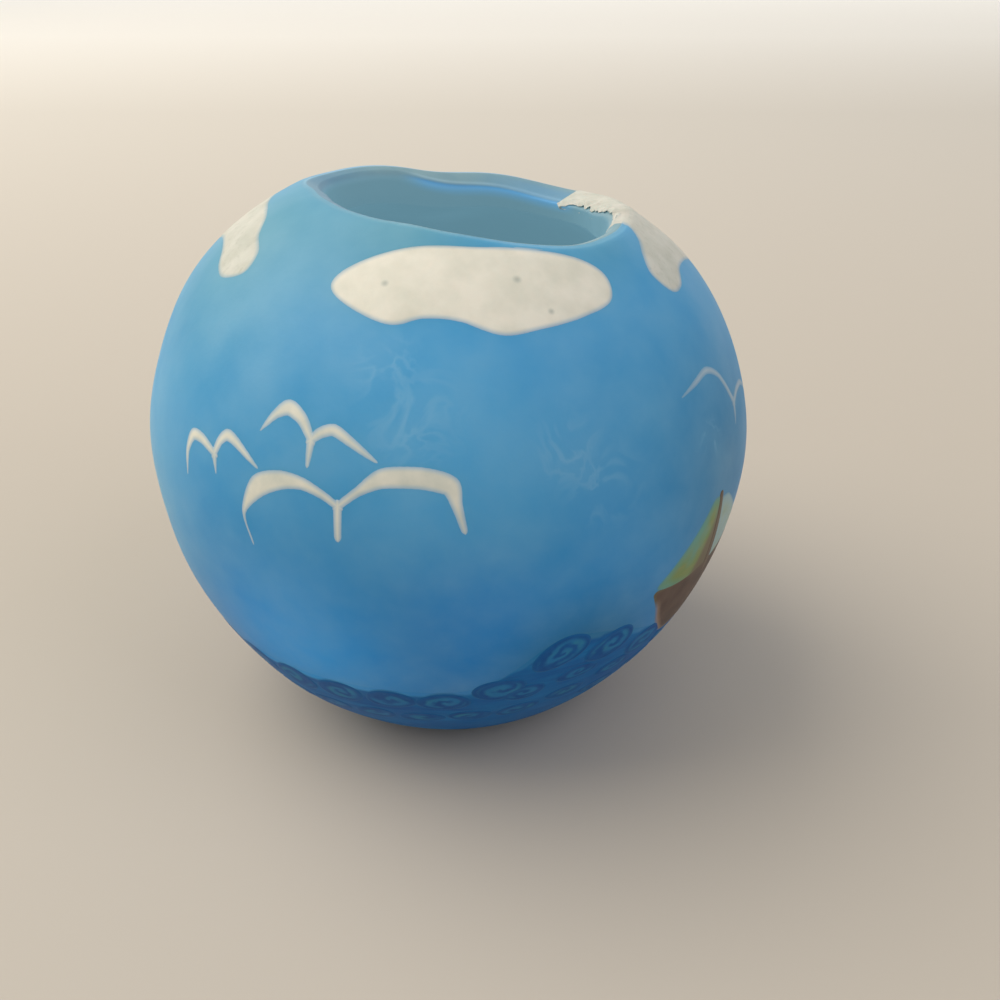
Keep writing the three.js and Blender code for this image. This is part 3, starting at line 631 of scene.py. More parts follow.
def pressed_in(middle, drawing, from_edge, top, fade, proud=0.05, crumbly=0.0):
    """Puts drawn points on the globe. The top comes up out of the skin at the drawn edge and stands proud
    of it by a hair from a fade's distance on, and the underside lies inside the skin. What is drawn past
    the lip's inner edge hangs a little way down inside it and turns back into the wall. A crumbly piece
    goes round the lip's outer edge in a soft bend and breaks up into lumps towards its inner edge."""
    azimuth, polar = lay_on_globe(middle, drawing)
    inward = np.radians(lip_polar(azimuth) - polar) * globe_radius
    width = lip_width(azimuth)
    past = np.maximum(inward - width, 0)
    risen = smoothstep(from_edge, 0, fade)
    rise = (proud + edge_sunk) * risen - edge_sunk + rise_on_lip * smoothstep(inward, -1.5, 0.2) * risen
    hanging = np.minimum(past, most_hanging)
    colour_edge = from_edge
    bend = 0.0
    if crumbly:
        spot = on_globe(azimuth, polar)
        kept = 1 - smoothstep(past, 0.8, 2.4)
        broken = crumbly * smoothstep(inward / width, 0.35, 0.95) * kept
        lumps = 0.55 * smoothstep(crumbs(spot, 1.5), 0.3, 0.7) + 0.4 * crumbs(spot, 0.8)
        sunk = 0.8 * (1 - smoothstep(from_edge, 0, 1.6)) * smoothstep(inward, 0, 1)
        rise = rise + broken * (lumps - 0.3) - sunk * kept + 0.25 * smoothstep(inward, -3, -1) * risen
        bend = sum(lip_depth(inward + shift) for shift in (-1.4, -0.7, 0, 0.7, 1.4)) / 5 - lip_depth(inward)
        bend = bend * (1 - smoothstep(inward, 1.4, 2.2))
        by_turn = np.stack([azimuth * 0.45, 0 * azimuth, 0 * azimuth], -1)
        hanging = smoothstep(past, 0, 1.5) * (0.3 + 0.7 * crumbs(by_turn, 1.3))
        inward = inward + 0.35 * broken * (crumbs(by_turn + 7, 1.6) - 0.4)
        inward = inward - 1.2 * smoothstep(past, 1, 2.2)
        colour_edge = from_edge + 2.5 * crumbly * smoothstep(inward / width, 0, 0.4)
    inward = inward - past + 0.15 * np.minimum(past, 1) - smoothstep(past, 2, 4) - np.where(top, 0, 0.6)
    depth = lip_depth(inward) + bend + hanging + np.where(top, -rise, inlay_thickness)
    polar = lip_polar(azimuth) - np.degrees(inward / globe_radius)
    return np.concatenate([on_globe(azimuth, polar, depth), drawing, colour_edge[..., None]], -1)


def flat_inlay(middle, outline, heart, fade, proud=0.05, rings=34, crumbly=0.0):
    """A closed grid of rings that shrink from the outline to a heart: first the underside, from the
    heart out, and then the top, back to the heart."""
    outline = np.asarray(outline, float)
    shares = (np.arange(rings + 1) / rings) ** 1.5
    top_rings = outline + (np.asarray(heart, float) - outline) * shares[:, None, None]
    under_rings = top_rings[::-6]
    drawing = np.concatenate([under_rings, top_rings])
    gaps = np.linalg.norm(drawing[:, :, None] - outline, axis=-1)
    top = np.arange(len(drawing))[:, None] >= len(under_rings)
    return pressed_in(middle, drawing, gaps.min(-1), top, fade, proud, crumbly)


def into_sky(tree, place, fade, inside):
    """Sky blue at an inlay's edge, and its own colour from a fade's distance in. The third number of the
    drawing is the distance from the edge."""
    share = add_node(tree, "MapRange", {
        "Value": from_drawing(tree)[2], "From Min": 0.0, "From Max": fade}, interpolation_type="SMOOTHSTEP")
    return add_node(tree, "Mix", {0: share, 6: sky_colour(tree, place), 7: inside}, 2, data_type="RGBA")


cloud_fade = 1.5
pit_shadows = (  # azimuth, polar angle and radius of each pit in the front cloud, painted as a dark spot of shade
    (-11.6, 40.6, 0.55),
    (19.6, 40.4, 0.65),
    (24.9, 46.6, 0.5),
)
pit_shadow_share = 0.55
speck_share = 0.3


def cloud_colour(tree, place):
    """Ivory, mottled in patches of 5 mm, with a few dark spots of painted shade where the cloud has pit
    marks, and blue at the edge.
    """
    ivory = add_node(tree, "Mix", {
        0: speckle(tree, place, 5, 5, low=0.35), 6: "#e3e1d4", 7: "#d3d3c5"}, 2, data_type="RGBA")
    # Painted shade: each pit of the real cloud is a dark spot of colour here, on a smooth surface.
    for azimuth, polar, radius in pit_shadows:
        near = nearness(tree, place, azimuth, polar, radius * 1.5)
        dark = add_node(tree, "Math", {0: near, 1: pit_shadow_share}, operation="MULTIPLY")
        ivory = add_node(tree, "Mix", {0: dark, 6: ivory, 7: "#8e9a94"}, 2, data_type="RGBA")
    return into_sky(tree, place, cloud_fade, ivory)


def shaded_cloud_colour(tree, place):
    """The same wax in a darker copy, painted shade for the two clouds that catch the most light, in patches
    of 5 mm and specks of 1 mm.
    """
    grey = add_node(tree, "Mix", {
        0: speckle(tree, place, 5, 5, low=0.35), 6: "#cccdc4", 7: "#babdb2"}, 2, data_type="RGBA")
    specks = add_node(tree, "Math", {
        0: speckle(tree, place, 1, 3, low=0.55, high=0.8), 1: speck_share}, operation="MULTIPLY")
    specked = add_node(tree, "Mix", {0: specks, 6: grey, 7: "#8f9384"}, 2, data_type="RGBA")
    return into_sky(tree, place, cloud_fade, specked)


cloud_wax = candle_wax("undyed candle wax, ivory", cloud_colour, roughness=0.48, grain=0.012)
shaded_cloud_wax = candle_wax(
    "undyed candle wax, darker copy for painted shade", shaded_cloud_colour, roughness=0.5, grain=0.03)
clouds = {  # middle, heart and outline
    "cloud_front": ((9.5, 41.5), (0, 0), (
        (-21.7, -0.7), (-19.5, 2.4), (-13.5, 6), (-7, 8), (1, 7.6), (9, 6.2), (17, 3), (21.6, -1),
        (21.6, -5), (16.5, -6.4), (9, -7.2), (3, -7.5), (-3, -5), (-8, -4.5), (-13, -5.6), (-19, -3.3))),
    "cloud_left": ((-80, 40), (-2, 1), (
        (18.2, -3.6), (14.5, -6), (10.5, -5.4), (5, -3.2), (-1, -3), (-8, -5.2), (-16, -5.4),
        (-22, -2.5), (-21.5, 1.8), (-14, 5.2), (-4, 6.4), (5, 5.8), (11, 2.6), (16, 0.2))),
    "cloud_right": ((100, 44), (0, 4), (
        (-16.5, 8.5), (-20, 4.8), (-25, 1.8), (-28.6, -1.5), (-28.4, -5.4), (-24.5, -5.6), (-19, -3.6),
        (-13, -4.2), (-6, -6.6), (3, -8), (12, -6.8), (19, -4), (23.5, 0.5), (21, 6), (13.5, 10.5),
        (8.5, 19), (0, 21), (-14, 18), (-15, 12))),
    "cloud_back": ((190, 47), (0, 0), (
        (-15, -1), (-10, 3.5), (-3, 5), (5, 4.2), (12, 3.5), (16, 0), (13, -3.6), (6, -4.4),
        (0, -3.2), (-7, -4.6), (-13, -3.6))),
}
cloud_smear = 0.75
for name, (middle, heart, knots) in clouds.items():
    steps, rings, crumbly = (24, 90, 1.0) if name == "cloud_right" else (14, 34, 0.0)
    outline = grown(through(knots, steps, closed=True), cloud_smear)
    grid = flat_inlay(middle, outline, heart, cloud_fade, rings=rings, crumbly=crumbly)
    # The left and right clouds take the darker copy of the ivory: painted shade that tones them down where
    # they catch the most light.
    wax = shaded_cloud_wax if name in ("cloud_right", "cloud_left") else cloud_wax
    add_piece(name + "_wax", [grid], wax, name, sharp=80)

# The gulls. Thin ivory wax strips, bent into wings and pressed in like the clouds. Each gull is two wing
# strokes and a tail stroke that meet, and their thin tips have taken on blue from the skin.
def stroke_inlay(middle, knots, smear, fade, proud=0.05):
    """A strip along a curve through x, y and width, smeared wider on both sides. Its cross-section goes
    over the top and back under, and its width closes to a round end at both tips."""
    line = through(knots, 12, slack=0.8)
    line[:, 2] += 2 * smear * np.minimum(1, 0.35 + 1.2 * line[:, 2] / 2)
    ahead = np.gradient(line[:, :2], axis=0)
    along = ahead / np.linalg.norm(ahead, axis=1)[:, None]
    reach = np.concatenate([[0], np.cumsum(np.linalg.norm(np.diff(line[:, :2], axis=0), axis=1))])
    caps = np.sin(np.radians([0, 12, 25, 40, 58, 76]))
    first, last = line[0, 2] / 2, line[-1, 2] / 2
    centres = np.concatenate([
        line[0, :2] - along[0] * first * (1 - caps)[:, None], line[1:-1, :2],
        line[-1, :2] + along[-1] * last * (1 - caps[::-1])[:, None]])
    lead = np.concatenate([
        np.tile(along[0], (len(caps), 1)), along[1:-1], np.tile(along[-1], (len(caps), 1))])
    round_cap = np.sqrt(1 - (1 - caps) ** 2)
    halves = np.concatenate([first * round_cap, line[1:-1, 2] / 2, last * round_cap[::-1]])
    over_top = np.sin(np.radians(np.linspace(-90, 90, 15)))
    across = np.concatenate([over_top, [0.6, 0, -0.6]])
    side = np.stack([-lead[:, 1], lead[:, 0]], -1)
    drawing = centres[:, None] + side[:, None] * (halves[:, None] * across)[..., None]
    from_edge = np.maximum(halves[:, None] * (1 - np.abs(across)), 0)
    top = np.broadcast_to(np.arange(len(across)) < len(over_top), from_edge.shape)
    return pressed_in(middle, drawing, from_edge, top, fade, proud)


gull_smear = 0.5
gull_fade = 1.45
sunk_in_blue = 0.5


def gull_colour(tree, place):
    """Ivory that is blue at the edges of the strokes and through their thin tips."""
    ivory = add_node(tree, "Mix", {
        0: speckle(tree, place, 3, 3), 6: "#e2e1d4", 7: "#cfd3c8"}, 2, data_type="RGBA")
    return into_sky(tree, place, gull_fade, ivory)


def faint_gull_colour(tree, place):
    """The same, sunk deeper, so that much of the skin's blue shows through."""
    return add_node(tree, "Mix", {
        0: sunk_in_blue, 6: gull_colour(tree, place), 7: sky_colour(tree, place)}, 2, data_type="RGBA")


gull_wax = candle_wax("undyed candle wax, thin ivory strips", gull_colour, roughness=0.46, soft=0.0)
faint_gull_wax = candle_wax(
    "undyed candle wax, strips sunk in blue", faint_gull_colour, roughness=0.46, soft=0.0)
plain_gull = (
    ((-8.5, -3, 0.7), (-6, 0.6, 1.5), (-3.6, 1.6, 2), (-1.4, 0.4, 1.6), (0, -1.6, 1.4)),
    ((0, -1.6, 1.4), (-0.1, -4.8, 0.7)),
    ((0, -1.6, 1.4), (1.6, 0.6, 1.6), (3.8, 1.7, 2), (6.2, 0.5, 1.5), (9, -3.2, 0.7)),
)
gulls = {  # middle, and the strokes as points of x, y and width
    "gull_large": ((-15, 75), (
        ((-15, -9.1, 0.7), (-16.3, -4.4, 1), (-13.4, 0.3, 3.4), (-9.5, 2.1, 3), (-5.8, 2.3, 2.1),
         (-2.5, 1.2, 1.5), (0, -0.2, 1.3)),
        ((0, -0.2, 1.5), (0, -4.8, 1.3)),
        ((0, -0.2, 1.3), (3, 2.3, 1.6), (6.6, 4.5, 3.1), (12, 4.7, 3.3), (16, 3.6, 3), (17.2, 0.8, 1.8),
         (18.4, -2.8, 1.1)))),
    "gull_upper": ((-20, 65), (
        ((-8.7, -0.8, 0.7), (-6.6, 1.7, 1.5), (-4.4, 3.1, 2.5), (-2, 1.8, 2), (-0.2, -0.8, 1.4)),
        ((-0.2, -0.8, 1.5), (-0.4, -4.3, 0.9)),
        ((-0.2, -0.8, 1.4), (1.2, 0.4, 1.8), (3.1, 1, 1.9), (5.5, -0.2, 1.6), (9.6, -2.7, 0.8)))),
    "gull_left": ((-38.5, 70), (
        ((-8, -7.2, 0.7), (-8.2, -3.6, 1.2), (-7, -0.8, 2), (-4.4, -0.7, 1.8), (-1.2, -2, 1.3)),
        ((-1.2, -2, 1.3), (-0.5, -4.6, 0.7)),
        ((-1.2, -2, 1.3), (-0.2, 0.3, 1.6), (1.2, 1.5, 2), (3.3, 0.9, 1.7), (7.6, -1.6, 0.8)))),
    "gull_right": ((66, 68), (
        ((-15.4, 2.7, 0.7), (-11.5, 3.5, 1.1), (-6.8, 4.2, 1.4), (-3, 2, 1.2), (0.9, -4.2, 1.4)),
        ((0.9, -4.2, 1.4), (0.2, -7.4, 0.8)),
        ((0.9, -4.2, 1.4), (4, -3.2, 1.4), (8, -3.5, 1.3), (12, -5.6, 1), (14.5, -8.4, 0.7)))),
    "gull_back_high": ((168, 68), plain_gull),
    "gull_back_low": ((196, 79), plain_gull),
}
for name, (middle, strokes) in gulls.items():
    grids = [stroke_inlay(middle, knots, gull_smear, gull_fade) for knots in strokes]
    wax = faint_gull_wax if name == "gull_right" else gull_wax
    add_piece(name + "_wax", grids, wax, name, sharp=80)

# The boat. Brown wax for the hull and mast, and streaked green and pale wax for the sails, cut with
# straight edges and pressed in. The hull's rim is worn to a lighter tan.
boat_middle = (58.5, 100)
boat_smear = 0.45
sail_fade = 1.1
mast_half = 0.6
brown_lean = (0.869, 0.495)


def soft_cornered(knots, smear, steps=14, softening=3):
    """A straight-sided outline whose corners are worn round: evenly stepped sides, then each point is
    the mean of its neighbours, and the whole is smeared wider."""
    knots = np.asarray(knots, float)
    t = np.arange(steps)[None, :, None] / steps
    sides = (knots[:, None] * (1 - t) + np.roll(knots, -1, 0)[:, None] * t).reshape(-1, 2)
    worn = sum(np.roll(sides, shift, 0) for shift in range(-softening, softening + 1)) / (2 * softening + 1)
    return grown(worn, smear)


def hull_colour(tree, place):
    """Brown, mottled in patches of 4 mm, tan near the edge. It is blue at the edge, but olive along the
    top, where it meets the sails."""
    _, y, from_edge = from_drawing(tree)
    brown = add_node(tree, "Mix", {
        0: speckle(tree, place, 4, 4), 6: "#4f4039", 7: "#66544a"}, 2, data_type="RGBA")
    worn = add_node(tree, "MapRange", {
        "Value": from_edge, "From Min": 0.7, "From Max": 1.7, "To Min": 0.5, "To Max": 0.0})
    top = add_node(tree, "MapRange", {"Value": y, "From Min": -3.5, "From Max": -1.0})
    around_it = add_node(tree, "Mix", {0: top, 6: sky_colour(tree, place), 7: "#6f6a4c"}, 2, data_type="RGBA")
    tan = add_node(tree, "Mix", {0: top, 6: "#b49c8c", 7: "#66544a"}, 2, data_type="RGBA")
    share = add_node(tree, "MapRange", {
        "Value": from_edge, "From Min": 0.0, "From Max": 1.0}, interpolation_type="SMOOTHSTEP")
    inside = add_node(tree, "Mix", {0: worn, 6: brown, 7: tan}, 2, data_type="RGBA")
    return add_node(tree, "Mix", {0: share, 6: around_it, 7: inside}, 2, data_type="RGBA")


def mast_colour(tree, place):
    """Brown with fine streaks up the mast."""
    upright = add_node(tree, "Mapping", {"Vector": place, "Scale": (1.0, 1.0, 0.15)})
    return add_node(tree, "Mix", {
        0: speckle(tree, upright, 1, 2), 6: "#5a4c40", 7: "#6f604f"}, 2, data_type="RGBA")


def sail_colour(first, second, third, smeared):
    """Streaks 1.6 mm wide that run up the sail, of two colours, over a third in wide patches and along the
    edge. A share of brown lies right of a line that leans away from the mast."""

    def colour(tree, place):
        x, y, from_edge = from_drawing(tree)
        drawing = add_node(tree, "Attribute", output="Vector", attribute_name="drawing")
        leaning = add_node(tree, "Mapping", {
            "Vector": drawing, "Rotation": (0, 0, np.radians(-38)),
            "Scale": (0.2 * in_metres, in_metres, 0.0)})
        streaked = add_node(tree, "Mix", {
            0: speckle(tree, leaning, 1.6, 3), 6: first, 7: second}, 2, data_type="RGBA")
        patched = add_node(tree, "Mix", {
            0: speckle(tree, place, 8, 2, low=0.45, high=0.75), 6: streaked, 7: third}, 2, data_type="RGBA")
        rim = add_node(tree, "MapRange", {
            "Value": from_edge, "From Min": 3.0, "From Max": 1.0, "To Max": 0.7})
        rimmed = add_node(tree, "Mix", {0: rim, 6: patched, 7: third}, 2, data_type="RGBA")
        across = add_node(tree, "Math", {0: x, 1: brown_lean[0]}, operation="MULTIPLY")
        up = add_node(tree, "Math", {0: y, 1: brown_lean[1]}, operation="MULTIPLY")
        right_of_line = add_node(tree, "Math", {0: across, 1: up}, operation="SUBTRACT")
        brown = add_node(tree, "MapRange", {
            "Value": right_of_line, "From Min": -7.4, "From Max": -5.0, "To Max": smeared},
            interpolation_type="SMOOTHSTEP")
        browned = add_node(tree, "Mix", {0: brown, 6: rimmed, 7: "#6b5c4c"}, 2, data_type="RGBA")
        return into_sky(tree, place, sail_fade, browned)

    return colour


hull_outline = soft_cornered((
    (-17.6, 1.4), (-15.4, -2.6), (-13, -7.6), (-7.6, -14.4), (7.4, -14.4), (13, -7.4), (15.8, -2.4),
    (17.8, 1.4), (9, 0.2), (0, 0), (-9, 0.2)), boat_smear)
add_piece(
    "boat_hull_wax", [flat_inlay(boat_middle, hull_outline, heart=(0, -6), fade=0.9, proud=0.09)],
    candle_wax("dyed candle wax, brown", hull_colour), "boat_hull", sharp=80)
mast_line = ((-0.6, -1.5, 3.4 * mast_half), (-0.5, 6, 3 * mast_half), (-0.4, 13.2, 2 * mast_half))
add_piece(
    "boat_mast_wax", [stroke_inlay(boat_middle, mast_line, smear=0.3, fade=0.45, proud=0.11)],
    candle_wax("dyed candle wax, light brown", mast_colour), "boat_mast", sharp=80)
foresail_outline = soft_cornered((
    (-17.9, 1.9), (-12.6, 6.2), (-7.6, 10), (-3.2, 13.6), (-0.4, 13.2), (0, -1.8), (-9, -1.6)), boat_smear)
add_piece(
    "boat_foresail_wax", [flat_inlay(boat_middle, foresail_outline, (-6, 5), sail_fade)],
    candle_wax("marbled candle wax, green and yellow", sail_colour("#6f8f55", "#868c5a", "#5f9a90", 0.9)),
    "boat_foresail", sharp=80)
mainsail_outline = soft_cornered((
    (-0.2, -1.8), (-0.2, 12.6), (3.4, 12), (8.6, 7.6), (13.6, 3), (8, -1)), boat_smear)
add_piece(
    "boat_mainsail_wax", [flat_inlay(boat_middle, mainsail_outline, (5, 5), sail_fade)],
    candle_wax("marbled candle wax, pale green", sail_colour("#9fb5ae", "#93a893", "#88aebd", 0.0)),
    "boat_mainsail", sharp=80)

# The waves. Round slices of a cane, rolled up from a dark and a lighter blue sheet of wax, so that each
# shows a spiral. They are pressed in side by side along the sea's edge, with smaller ones below them.
wave_radius = 0.87 * wave_pitch / 2
wave_squeeze = 1.14
wave_drop = 4.0
lower_share = 0.88
row_gap = 7.9
last_row_polar = 129
spiral_pitch = 2.5
spiral_wander = 0.5


def wave_colour(tree, place):
    """A spiral: how many turns out a point lies is its radius over the pitch, less its angle over a full
    turn. The dark sheet lies where one turn ends and the next begins, and the light one between. Both are
    streaky, and the rim is dark."""
    x, y, from_edge = from_drawing(tree)
    x_squared = add_node(tree, "Math", {0: x, 1: x}, operation="MULTIPLY")
    y_squared = add_node(tree, "Math", {0: y, 1: y}, operation="MULTIPLY")
    squares = add_node(tree, "Math", {0: x_squared, 1: y_squared}, operation="ADD")
    radius = add_node(tree, "Math", {0: squares}, operation="SQRT")
    turns_out = add_node(tree, "Math", {0: radius, 1: spiral_pitch}, operation="DIVIDE")
    wander = add_node(tree, "Math", {0: speckle(tree, place, 3, 2), 1: spiral_wander}, operation="MULTIPLY")
    wandered = add_node(tree, "Math", {0: turns_out, 1: wander}, operation="ADD")
    angle = add_node(tree, "Math", {0: y, 1: x}, operation="ARCTAN2")
    turns_round = add_node(tree, "Math", {0: angle, 1: 2 * np.pi}, operation="DIVIDE")
    turns = add_node(tree, "Math", {0: wandered, 1: turns_round}, operation="SUBTRACT")
    in_turn = add_node(tree, "Math", {0: turns}, operation="FRACT")
    within = add_node(tree, "Math", {0: in_turn, 1: 0.5}, operation="PINGPONG")
    sheet = add_node(tree, "MapRange", {
        "Value": within, "From Min": 0.06, "From Max": 0.42}, interpolation_type="SMOOTHSTEP")
    pale = add_node(tree, "Mix", {
        0: speckle(tree, place, 6, 2), 6: "#2479b4", 7: "#33829f"}, 2, data_type="RGBA")
    light = add_node(tree, "Mix", {
        0: speckle(tree, place, 1.5, 3), 6: "#1d6faa", 7: pale}, 2, data_type="RGBA")
    dark = add_node(tree, "Mix", {
        0: speckle(tree, place, 2, 2), 6: "#0b4d90", 7: "#135b9e"}, 2, data_type="RGBA")
    rim = add_node(tree, "MapRange", {
        "Value": from_edge, "From Min": 0.7, "From Max": 1.9}, interpolation_type="SMOOTHSTEP")
    sheets = add_node(tree, "Mix", {0: sheet, 6: dark, 7: light}, 2, data_type="RGBA")
    spiral = add_node(tree, "Mix", {0: rim, 6: dark, 7: sheets}, 2, data_type="RGBA")
    edge = add_node(tree, "MapRange", {
        "Value": from_edge, "From Min": 0.0, "From Max": 0.9}, interpolation_type="SMOOTHSTEP")
    return add_node(tree, "Mix", {0: edge, 6: "#1a66a4", 7: spiral}, 2, data_type="RGBA")


def wave_slice(azimuth, polar, radius, high, lean, number):
    """A squeezed oval slice that leans over, of radius * (1 + 0.05 cos(2 angle) + 0.03 cos(3 angle)), with
    both waves and the spiral turned differently in each."""
    angle = np.radians(np.arange(48) * 7.5)
    lobes = 1 + 0.05 * np.cos(2 * angle + number) + 0.03 * np.cos(3 * angle + 2.3 * number)
    x = wave_squeeze * radius * lobes * np.cos(angle)
    y = high * radius * lobes * np.sin(angle)
    heart = np.array([0.4 * np.cos(number), 0.2])
    outline = np.stack([x + lean * y, y], -1)
    grid = flat_inlay((azimuth, polar), outline, heart, fade=0.6, proud=0.07, rings=18)
    from_heart = grid[..., 3:5] - heart
    across = (from_heart[..., 0] - lean * from_heart[..., 1]) / wave_squeeze
    up = from_heart[..., 1] / high
    spin = 2.4 * number
    turned_x = across * np.cos(spin) + up * np.sin(spin)
    turned_y = up * np.cos(spin) - across * np.sin(spin)
    grid[..., 3:5] = np.stack([turned_x, turned_y * (1 if number % 3 else -1)], -1)
    return grid


wave_wax = candle_wax("rolled cane of candle wax, two blues", wave_colour, sheen=0.12)
slice_azimuths = swell_first_crest + np.arange(wave_count) * 360 / wave_count
lower_slices = []
for number, azimuth in enumerate(slice_azimuths):
    name = f"wave_slice_{number + 1:02d}"
    swollen = (sea_polar - sea_edge(azimuth)) / swell_height
    polar = sea_edge(azimuth) + np.degrees(wave_drop / globe_radius)
    grid = wave_slice(azimuth, polar, wave_radius, 0.88 + 0.3 * swollen, 0.35 * swollen, number)
    add_piece(name + "_wax", [grid], wave_wax, name, sharp=80)
    beside = azimuth + 180 / wave_count
    polar = sea_edge(beside) + np.degrees((wave_drop + row_gap) / globe_radius)
    while polar < last_row_polar:
        turned_by = number + len(lower_slices) + 0.5
        lower_slices.append(wave_slice(beside, polar, lower_share * wave_radius, 0.8, 0.1, turned_by))
        polar += np.degrees(row_gap / globe_radius)
add_piece("lower_wave_slices", lower_slices, wave_wax, sharp=80)

# The tea light's cup. Aluminium foil drawn into a cup, with fine flutes where the foil has gathered in
# the wall and a rim rolled outward. It gives bright, broken reflections.
cup_rim_radius = (cup_high[0] - cup_low[0]) / 2
cup_height = cup_high[2] - cup_low[2]
cup_foot_radius = cup_rim_radius - 1.7
cup_wall_radius = cup_rim_radius - 0.9
cup_wall = 0.4
bead = 0.45


def turned(profile, steps=4, flutes=0, flute_depth=0.0):
    """Rows round the tea light's axis from a profile of radius, height and share of fluting, above the
    seat, drawn as a smooth curve. The flutes move a row in and out by a cosine."""
    line = through(profile, steps)
    wave = flute_depth * turn(around, flutes, 0)
    return np.array([
        level_ring(seat, radius + wave * share, cup_low[2] + height) for radius, height, share in line])


def foil_cup(name):
    """Bright drawn aluminium with faint upright drawing lines 0.6 mm apart."""
    material, tree, shader, place = new_material(name)
    upright = add_node(tree, "Mapping", {"Vector": place, "Scale": (1.0, 1.0, 0.08)})
    lines = speckle(tree, upright, 0.6, 2)
    bump = add_node(tree, "Bump", {"Height": lines, "Distance": 0.02 * in_metres, "Strength": 1.0})
    rough = add_node(tree, "MapRange", {"Value": lines, "To Min": 0.22, "To Max": 0.36})
    silver = add_node(tree, "Mix", {0: lines, 6: "#c4c7ca", 7: "#d4d6d8"}, 2, data_type="RGBA")
    tree.links.new(silver, shader.inputs["Base Color"])
    tree.links.new(rough, shader.inputs["Roughness"])
    tree.links.new(bump, shader.inputs["Normal"])
    shader.inputs["Metallic"].default_value = 1.0
    return material


cup_profile = (
    (0, 0, 0), (cup_foot_radius - 2, 0, 0), (cup_foot_radius - 0.5, 0, 0), (cup_foot_radius, 0.5, 0.3),
    (cup_foot_radius + 0.15, 2, 1), (cup_wall_radius - 0.25, cup_height - 4, 1),
    (cup_wall_radius - 0.1, cup_height - 1.6, 0.5), (cup_wall_radius, cup_height - 1.0, 0),
    (cup_rim_radius - bead, cup_height - 2 * bead, 0), (cup_rim_radius, cup_height - bead, 0),
    (cup_rim_radius - bead, cup_height, 0), (cup_wall_radius - 0.1, cup_height - 0.25, 0),
    (cup_wall_radius - cup_wall, cup_height - 1.2, 0),
    (cup_wall_radius - cup_wall - 0.15, cup_height - 2.4, 0.5),
    (cup_foot_radius - cup_wall + 0.1, 2, 0.6), (cup_foot_radius - cup_wall - 0.5, cup_wall, 0),
    (cup_foot_radius - 3, cup_wall, 0), (0, cup_wall, 0))
add_piece(
    "tealight_foil_cup", [turned(cup_profile, flutes=64, flute_depth=0.1)],
    foil_cup("drawn aluminium foil"), "tealight_cup", "tealight")

# The tea light's wax. White paraffin poured round the wick: it has drawn a little up the wall and up the
# wick as it set, and its top is smooth with a few shallow sink marks.
wax_low, wax_high = (np.array(corner) * in_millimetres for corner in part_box("tealight_wax"))
wax_bottom = wax_low[2] - cup_low[2]
wax_top = wax_high[2] - cup_low[2]
wax_radius = (wax_high[0] - wax_low[0]) / 2


def paraffin_colour(tree, place):
    """White, a little greyer in patches of 6 mm."""
    return add_node(tree, "Mix", {
        0: speckle(tree, place, 6, 3), 6: "#f3f1e9", 7: "#e8e6dd"}, 2, data_type="RGBA")


paraffin_profile = (
    (0, wax_bottom + 0.1, 0), (wax_radius * 0.5, wax_bottom + 0.1, 0),
    (wax_radius - 1.2, wax_bottom + 0.1, 0), (wax_radius - 0.75, wax_bottom + 0.8, 0),
    (wax_radius - 0.05, wax_top - 0.25, 0), (wax_radius - 0.1, wax_top, 0),
    (wax_radius - 0.7, wax_top - 0.35, 0), (wax_radius - 2.5, wax_top - 0.5, 0),
    (wax_radius * 0.5, wax_top - 0.42, 0), (3.2, wax_top - 0.45, 0), (1.6, wax_top - 0.2, 0),
    (0.75, wax_top + 0.1, 0), (0, wax_top + 0.1, 0))
paraffin = candle_wax("poured paraffin wax, white", paraffin_colour, roughness=0.35, swell=0.12, grain=0.003)
add_piece("tealight_paraffin", [turned(paraffin_profile)], paraffin, "tealight_wax", "tealight")

# The wick plate. A stamped disc of tinned steel with a collar that holds the wick, sunk in the wax. It
# keeps its CAD form, with a dull tin surface that is a little stained.
plate_tin, tin_tree, tin_shader, tin_place = new_material("stamped tinned steel")
tin_stain = speckle(tin_tree, tin_place, 2, 4)
tin_colour = add_node(tin_tree, "Mix", {0: tin_stain, 6: "#a9abad", 7: "#8f9092"}, 2, data_type="RGBA")
tin_tree.links.new(tin_colour, tin_shader.inputs["Base Color"])
tin_rough = add_node(tin_tree, "MapRange", {"Value": tin_stain, "To Min": 0.34, "To Max": 0.5})
tin_tree.links.new(tin_rough, tin_shader.inputs["Roughness"])
tin_shader.inputs["Metallic"].default_value = 1.0
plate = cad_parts["wick_plate"]
plate.data.materials.clear()
plate.data.materials.append(plate_tin)

# The wick. Cotton yarn, braided of three strands and dipped in wax, white and a little fuzzy. It stands
# straight in the middle of the tea light.
wick_low, wick_high = (np.array(corner) * in_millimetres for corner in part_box("wick"))
wick_radius = (wick_high[0] - wick_low[0]) / 2
strand_turn = 4.5


def cotton_colour(tree, place):
    """Off-white cotton, darker in fine random patches 0.25 mm apart."""
    return add_node(tree, "Mix", {
        0: speckle(tree, place, 0.25, 3), 6: "#efeadb", 7: "#cfc7b4"}, 2, data_type="RGBA")


wick_heights = np.linspace(wick_low[2], wick_high[2], 60)
wick_taper = 1 - 0.55 * smoothstep(wick_heights, wick_high[2] - 0.9, wick_high[2])
strands = np.cos(np.radians(3 * around[None]) - 2 * np.pi * wick_heights[:, None] / strand_turn)
wick_rings = wick_radius * wick_taper[:, None] * (0.84 + 0.13 * strands)
wick_rows = np.array([level_ring(seat, radius, height) for radius, height in zip(wick_rings, wick_heights)])
wick_rows = wick_rows[:, ::8]
tips = [np.broadcast_to(wick_rows[k].mean(0), wick_rows[k].shape) for k in (0, -1)]
add_piece(
    "braided_wick", [np.array([tips[0], *wick_rows, tips[1]])],
    candle_wax("braided cotton, dipped in wax", cotton_colour, roughness=0.8, swell=0.0, grain=0.05),
    "wick", "tealight", sharp=60)

